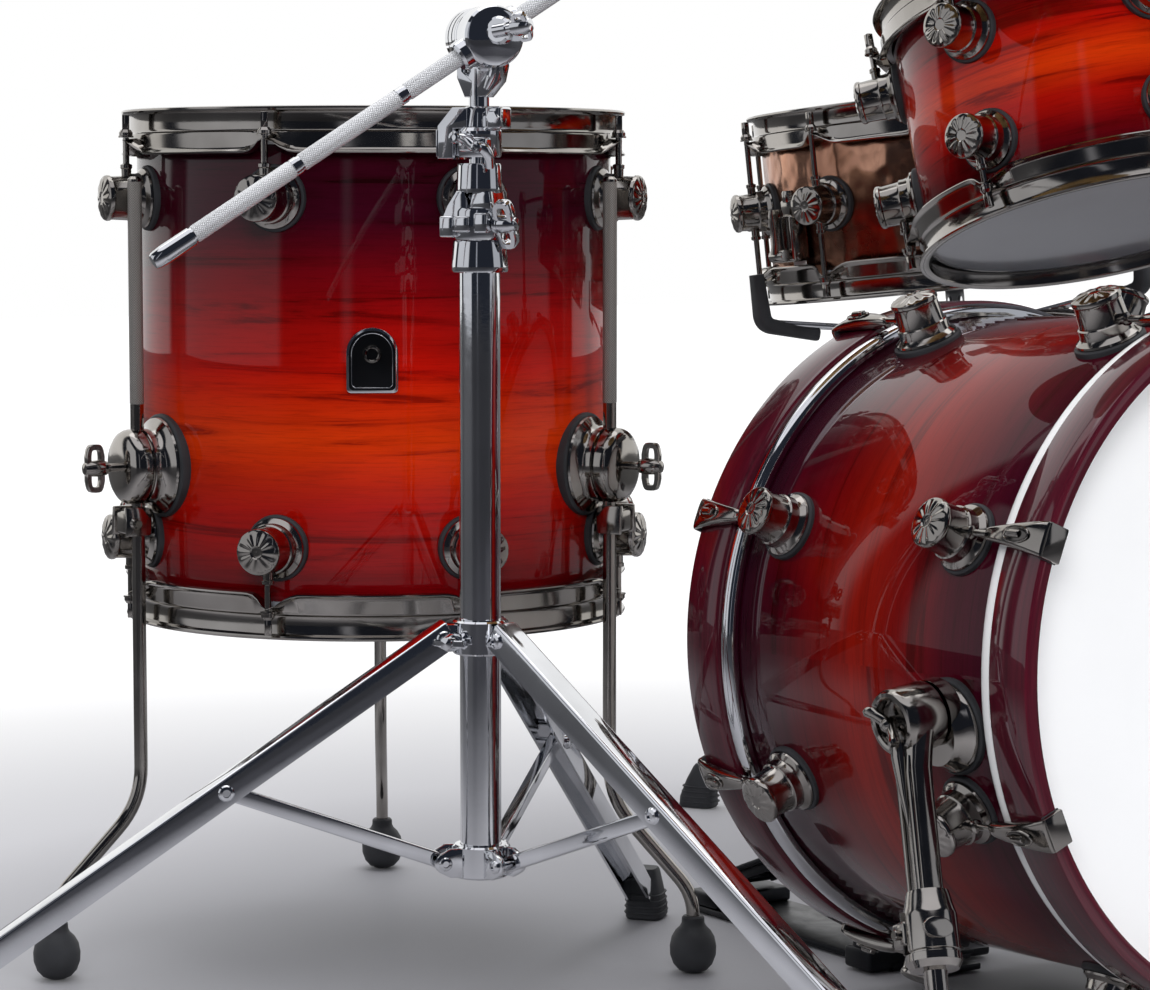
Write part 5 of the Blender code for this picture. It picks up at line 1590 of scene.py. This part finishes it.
def basket():
    low = -(snare.depth / 2 + HOOP_ABOVE)
    hub = Vector((0, 0, low - BASKET_BELOW))
    steel_form, tips = Form(), Form()
    steel_form.lathe(
        mm((0, 3), (22.5, 3), (24, 5), (24, 12), (20.5, 16), (18.5, 28), (16.5, 30), (0, 30)), 48,
        Matrix.Translation(hub)
    )
    for angle in BASKET_ARMS:
        out = around(angle)
        across = Vector((-out.y, out.x, 0))
        inner, elbow = hub + UP * 0.014 + out * 0.016, UP * (low - 0.016) + out * (BASKET_OUT - 0.01)
        for y in (-0.0048, 0.0048):
            steel_form.sweep(
                [inner + across * y, inner.lerp(elbow, 0.5) + across * y, elbow + across * y], 0.0033,
                14
            )
        tip = axes_frame(UP * (low - 0.016) + out * BASKET_OUT, out, UP)
        path = rounded(mm((-60, 0, -17), (-2, 0, -1), (0, 0, 49)), 0.01, 8)
        rows = []
        for k, p in enumerate(path):
            along = (path[min(k + 1, len(path) - 1)] - path[max(k - 1, 0)]).normalized()
            face = along.cross(Vector((0, 1, 0))).normalized()
            grow = 0.8 if k in (0, len(path) - 1) else 1.0
            rows.append(
                [
                    tip @ (p + Vector((0, 1, 0)) * (y * grow) + face * (x * grow)) for x,
                    y in oval(0.015, 0.02, 24, 3.4)
                ]
            )
        tips.grid(rows, cap=True)
    steel_form.piece(
        "snare_basket_arms", CHROME, "snare_drum", snare.place, ["snare_basket"], slot="chrome"
    )
    tips.piece("snare_basket_tips", RUBBER, "snare_drum", snare.place, slot="chrome")


def snare_stand():
    tube, post_r, top_z, low_z = 0.0125, 0.0095, 0.42, 0.081
    centre, high_form, low_form = tripod("snare_stand", tube, 0.026, 0.285, (0.018, 0.016, 0.0018))
    wing(
        high_form, clamp_frame(centre) @ shift(0, -0.016, 0) @ spin(90, "X"), 0.026, 0.014, 0.0024,
        0.006
    )
    high_form.stand_in(
        "snare_stand_slide_collar", CHROME, "snare_stand_leg_collar", slot="chrome", sharp=30
    )
    low_form.piece("snare_stand_low_collar", CHROME, "kit", slot="chrome", sharp=30)
    axis = shift(centre.x, centre.y, 0)
    form = Form()
    form.lathe(socket_tube(tube, low_z, top_z, post_r + 0.0006, 0.04), 56, axis)
    form.piece("snare_stand_main_tube", CHROME, "kit", replaced=["snare_stand_tube"], slot="chrome")
    post = Form()
    head_z = pivot("snare_basket_tilt").z
    post.lathe(pin(post_r, 0.117, head_z - 0.014), 40, axis)
    post.lathe(
        mm((9.7, 420.6), (16.5, 420.6), (17.2, 422.5), (16.5, 440), (15, 447), (9.7, 448)), 44, axis,
        closed=True
    )
    wing(
        post, clamp_frame(Vector((centre.x, centre.y, 0.434))) @ shift(0.014, 0, 0) @ spin(90, "Y"),
        0.032, 0.015, 0.0026, 0.008
    )
    post.lathe(moved(0, head_z, (0, -30), (12.5, -30), (14, -26), (14, -14), (11, -8), (0, -8)), 36, axis)
    post.stand_in("snare_stand_inner_post", CHROME, "snare_stand_post", slot="chrome")


snare_fittings()
basket()
snare_stand()


# Bass drum pedal.

PEDAL_LENGTH, PEDAL_WIDE, POST_X, POST_Y, AXLE_Z = 0.3, 0.084, 0.056, 0.02, 0.215


def pedal():
    axle, heel = pivot("pedal_beater"), pivot("pedal_footboard")
    place = shift(axle.x, axle.y - POST_Y, 0)
    base, soles = Form(), Form()
    base.block((PEDAL_WIDE, PEDAL_LENGTH, 0.005), place @ shift(0, PEDAL_LENGTH / 2, 0.0045), 0.0014)
    soles.block(
        (PEDAL_WIDE - 0.006, PEDAL_LENGTH - 0.01, 0.0022), place @ shift(0, PEDAL_LENGTH / 2, 0.0011),
        0.0006
    )
    base.block((2 * POST_X + 0.018, 0.036, 0.018), place @ shift(0, POST_Y, 0.011), 0.003, 3)
    base.block((0.048, 0.038, 0.006), place @ shift(0, -0.016, 0.0045), 0.0016)
    base.block((0.044, 0.03, 0.0045), place @ shift(0, -0.013, 0.016), 0.0014)
    wing(base, place @ shift(0.032, 0.004, 0.02) @ spin(90, "Y"), 0.026, 0.012, 0.0022, 0.006)
    base.block((PEDAL_WIDE, 0.044, 0.013), place @ shift(0, PEDAL_LENGTH - 0.022, 0.0135), 0.0028, 3)
    for side in (1, -1):
        x = side * POST_X
        post = place @ shift(x, POST_Y, 0) @ SWAP_XZ
        loft(
            base, post,
            mm(
                (6, 28, -7.5, 7.5), (20, 25, -7, 7), (110, 17, -5.8, 5.8), (190, 20, -6.2, 6.2),
                (205, 24, -6.8, 6.8), (222, 22, -6.8, 6.8), (228, 14, -5, 5)
            ),
            24, 3.0
        )
        bearing = place @ shift(x, POST_Y, AXLE_Z) @ spin(90, "Y")
        base.lathe(
            mm((5.8, -8), (11, -8), (11.8, -7), (11.8, 7), (11, 8), (5.8, 8)), 32, bearing,
            closed=True
        )
    base.piece("pedal_frame", BLACK, "kit", replaced=["pedal_base"], slot="pedal_metal", sharp=30)
    soles.piece("pedal_sole_rubber", RUBBER, "kit", slot="pedal_metal")
    spring = Form()
    turns, steps, coil_r = 13, 14, 0.0062
    at = Vector((axle.x + POST_X + 0.018, axle.y, 0))
    top, low = AXLE_Z - 0.048, 0.062
    coil = [
        (coil_r, TAU * k / steps, top + (low - top) * k / (steps * turns))
        for k in range(steps * turns + 1)
    ]
    spring.sweep(
        [(r * math.cos(a), r * math.sin(a), z) for r, a, z in coil], 0.001, 8, Matrix.Translation(at)
    )
    spring.rod(at + UP * (low - 0.04), at + UP * (low + 0.003), 0.0026, 14)
    spring.rod(at + UP * (top - 0.003), at + UP * (AXLE_Z - 0.03), 0.002, 12)
    spring.block((0.018, 0.01, 0.008), Matrix.Translation(at + Vector((-0.007, 0, low - 0.04))), 0.0016)
    spring.piece("pedal_spring", STEEL, "kit", slot="pedal_metal")

    board, grip = Form(), Form()
    hinge = axes_frame(heel, (0, -1, 0), (-1, 0, 0))
    toe = Vector((0.275 - 0.052, 0.085, 0))
    along = toe.normalized()
    up = Vector((-along.y, along.x, 0))
    plate = hinge @ exact_frame((0, 0, 0), along, (0, 0, 1), up)
    length = toe.length
    toe_at, waist = length - 0.02, length * 0.55
    tip = arc((toe_at, 0), 0.02, -60, 60, 8)
    outline = [
        (0.004, -0.034), (waist, -0.035), (toe_at, -0.026), *tip, (toe_at, 0.026), (waist, 0.035),
        (0.004, 0.034)
    ]
    board.slab(outline, 0.0055, plate @ shift(0, 0, 0.0026), 0.0016)
    for side in (1, -1):
        board.block(
            (length * 0.86, 0.0045, 0.011), plate @ shift(length * 0.46, side * 0.027, -0.0028),
            0.0012
        )
    for row in range(9):
        x = length * (0.16 + 0.085 * row)
        half = 0.024 - 0.0008 * row
        grip.sweep(((x, -half, 0.0056), (x + 0.006, 0, 0.0058), (x, half, 0.0056)), 0.0016, 8, plate)
    board.lathe(mm((0, -36), (5.8, -36), (6, -35), (6, 35), (5.8, 36), (0, 36)), 24, hinge)
    board.stand_in("pedal_board", BLACK, "pedal_footboard", slot="pedal_metal", sharp=30)
    grip.piece("pedal_board_ribs", RUBBER, "pedal_footboard", slot="pedal_metal")

    beater, felt = Form(), Form()
    shaft = axes_frame(axle, (0, -1, 0), (-1, 0, 0))
    back, reach = math.radians(38), 0.16
    swing = Vector((-math.sin(back), math.cos(back), 0))
    beater.rod((0, 0, -0.063), (0, 0, 0.063), 0.005, 24, place=shaft)
    beater.lathe(
        mm(
            (0, -7.5), (22.5, -7.5), (23.8, -6.2), (23.8, -3), (20.5, -2.2), (20.5, 2.2), (23.8, 3),
            (23.8, 6.2), (22.5, 7.5), (0, 7.5)
        ),
        48, shaft
    )
    beater.rod(swing * 0.008, swing * (reach + 0.004), 0.0032, 18, place=shaft)
    beater.rod(swing * 0.014 + Vector((0, 0, 0.0001)), swing * 0.034, 0.0068, 24, place=shaft)
    for side in (1, -1):
        beater.rod((0, 0, side * 0.036), (0, 0, side * 0.046), 0.0085, 24, place=shaft)
    felt_place = shaft @ axes_frame(swing * reach, (0, 0, 1), (1, 0, 0))
    felt.lathe(
        mm(
            (0, -20), (16.5, -20), (20.5, -18.5), (22.5, -14), (22.5, 15), (20.5, 20.5), (16, 23.5),
            (0, 24)
        ),
        40, felt_place
    )
    beater.stand_in("pedal_axle", STEEL, "pedal_beater", slot="pedal_metal")
    felt.piece("pedal_beater_felt", FELT, "pedal_beater", slot="pedal_metal")


pedal()


# Studio: camera, floor, light.


def camera():
    made = bpy.data.cameras.new("camera")
    made.lens, made.sensor_width = 107.02, 36
    obj = bpy.data.objects.new("camera", made)
    bpy.context.scene.collection.objects.link(obj)
    heading, pitch = math.radians(33.0), math.radians(5.066)
    obj.location = (-1.6906, -2.3316, 0.6505)
    obj.rotation_euler = (math.radians(90) - pitch, 0, -heading)
    bpy.context.scene.camera = obj


def area(name, at, towards, size, power):
    lamp = bpy.data.lights.new(name, "AREA")
    lamp.shape, lamp.size, lamp.size_y, lamp.energy = "RECTANGLE", size, size, power
    obj = bpy.data.objects.new(name, lamp)
    obj.location = at
    obj.rotation_euler = (Vector(towards) - Vector(at)).to_track_quat("-Z", "Y").to_euler()
    obj.visible_glossy = False
    bpy.context.scene.collection.objects.link(obj)


def sky():
    """White to the camera. In reflections: a bright cove behind the set, and softboxes at the sides."""
    world = bpy.data.worlds.new("studio")
    world.use_nodes = True
    bpy.context.scene.world = world
    graph = Graph(world.node_tree)
    way = graph.node("TexCoord").outputs["Generated"]
    axes = []
    for axis in (LOOK_FLAT, RIGHT_FLAT, (0, 0, 1)):
        made = graph.node("VectorMath", operation="DOT_PRODUCT")
        graph.links.new(way, made.inputs[0])
        made.inputs[1].default_value = axis
        axes.append(made.outputs["Value"])
    ahead, aside, height = axes
    angle = graph.math("ARCTAN2", aside, graph.math("MULTIPLY", ahead, -1.0))
    turn = graph.math("MULTIPLY_ADD", angle, 1 / TAU, 0.5)
    level = graph.math("MULTIPLY_ADD", height, 0.5, 0.5)

    def bands(value, spans, dark):
        stops = [(0.0, dark)]
        for low, high, shade in spans:
            stops += [
                (low - 0.004, dark), (low + 0.004, shade), (high - 0.004, shade), (high + 0.004, dark)
            ]
        return graph.ramp(value, [(max(0.0, min(1.0, at)), shade) for at, shade in stops])

    cove = bands(
        turn, ((-0.01, 0.185, (1.0, 1.0, 1.0)), (0.815, 1.01, (1.0, 1.0, 1.0))), (0.018, 0.021, 0.03)
    )
    boxes = bands(
        turn,
        (
            (0.222, 0.38, (0.6, 0.61, 0.64)), (0.466, 0.478, (0.35, 0.36, 0.4)),
            (0.672, 0.765, (0.42, 0.43, 0.46))
        ),
        (0, 0, 0)
    )
    tall = bands(level, ((0.45, 0.8, (1, 1, 1)),), (0, 0, 0))
    over = bands(level, ((0.9, 1.01, (0.9, 0.9, 0.95)),), (0, 0, 0))
    light = graph.mix(1.0, cove, graph.mix(1.0, boxes, tall, "MULTIPLY"), "ADD")
    light = graph.mix(1.0, light, over, "ADD")
    back = graph.nodes["Background"]
    graph.links.new(light, back.inputs[0])
    back.inputs[1].default_value = 1.0
    seen = graph.node("Background")
    seen.inputs[0].default_value = (1, 1, 1, 1)
    seen.inputs[1].default_value = 1.0
    mixed = graph.nodes.new("ShaderNodeMixShader")
    graph.links.new(graph.node("LightPath").outputs["Is Camera Ray"], mixed.inputs[0])
    graph.links.new(back.outputs[0], mixed.inputs[1])
    graph.links.new(seen.outputs[0], mixed.inputs[2])
    graph.links.new(mixed.outputs[0], graph.nodes["World Output"].inputs["Surface"])


def ground():
    made = bmesh.new()
    bmesh.ops.create_grid(made, x_segments=8, y_segments=8, size=14)
    mesh = bpy.data.meshes.new("studio_floor")
    made.to_mesh(mesh)
    made.free()
    obj = bpy.data.objects.new("studio_floor", mesh)
    bpy.context.scene.collection.objects.link(obj)
    obj.location.z = -0.0004
    look = Look("studio_floor", (0.8, 0.8, 0.8), roughness=0.6)
    far = look.node("VectorMath", operation="LENGTH")
    look.links.new(look.own(), far.inputs[0])
    reach = look.math("DIVIDE", far.outputs["Value"], 4.0)
    # Painted light and shade on the floor: grey near the kit, darker further out, and a white glow seen only
    # by camera rays that rises with distance.
    look.set(
        "Base Color",
        look.ramp(
            reach,
            (
                (0.0, (0.29, 0.29, 0.31)), (0.22, (0.33, 0.33, 0.35)), (0.38, (0.12, 0.12, 0.13)),
                (0.55, (0.02, 0.02, 0.024))
            )
        )
    )
    # The painted glow: the far floor glows white to the camera though it is no lamp.
    painted_glow = look.ramp(reach, ((0.1, 0.0), (0.55, 1.0)), "EASE")
    look.set("Emission Color", painted_glow)
    look.set("Emission Strength", look.node("LightPath").outputs["Is Camera Ray"])
    mesh.materials.append(look.mat)
    obj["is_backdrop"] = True


# The camera's level directions: ahead, and to its right.
LOOK_FLAT, RIGHT_FLAT = (0.5446, 0.8387, 0), (0.8387, -0.5446, 0)


def studio():
    bpy.context.scene.view_settings.view_transform = "Standard"
    sky()
    ground()
    area("key", (-2.5, -2.9, 2.2), (-0.2, 0, 0.4), 1.6, 84)
    area("fill", (0.6, -3.7, 1.3), (0.1, 0, 0.35), 1.8, 60)
    area("top", (0.2, 0.0, 3.4), (0, 0, 0), 2.4, 60)


camera()
studio()

boxes = {"cad": CAD_BOUNDS, "visual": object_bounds()}
{key: [list(corner) for corner in value] for key, value in boxes.items()}
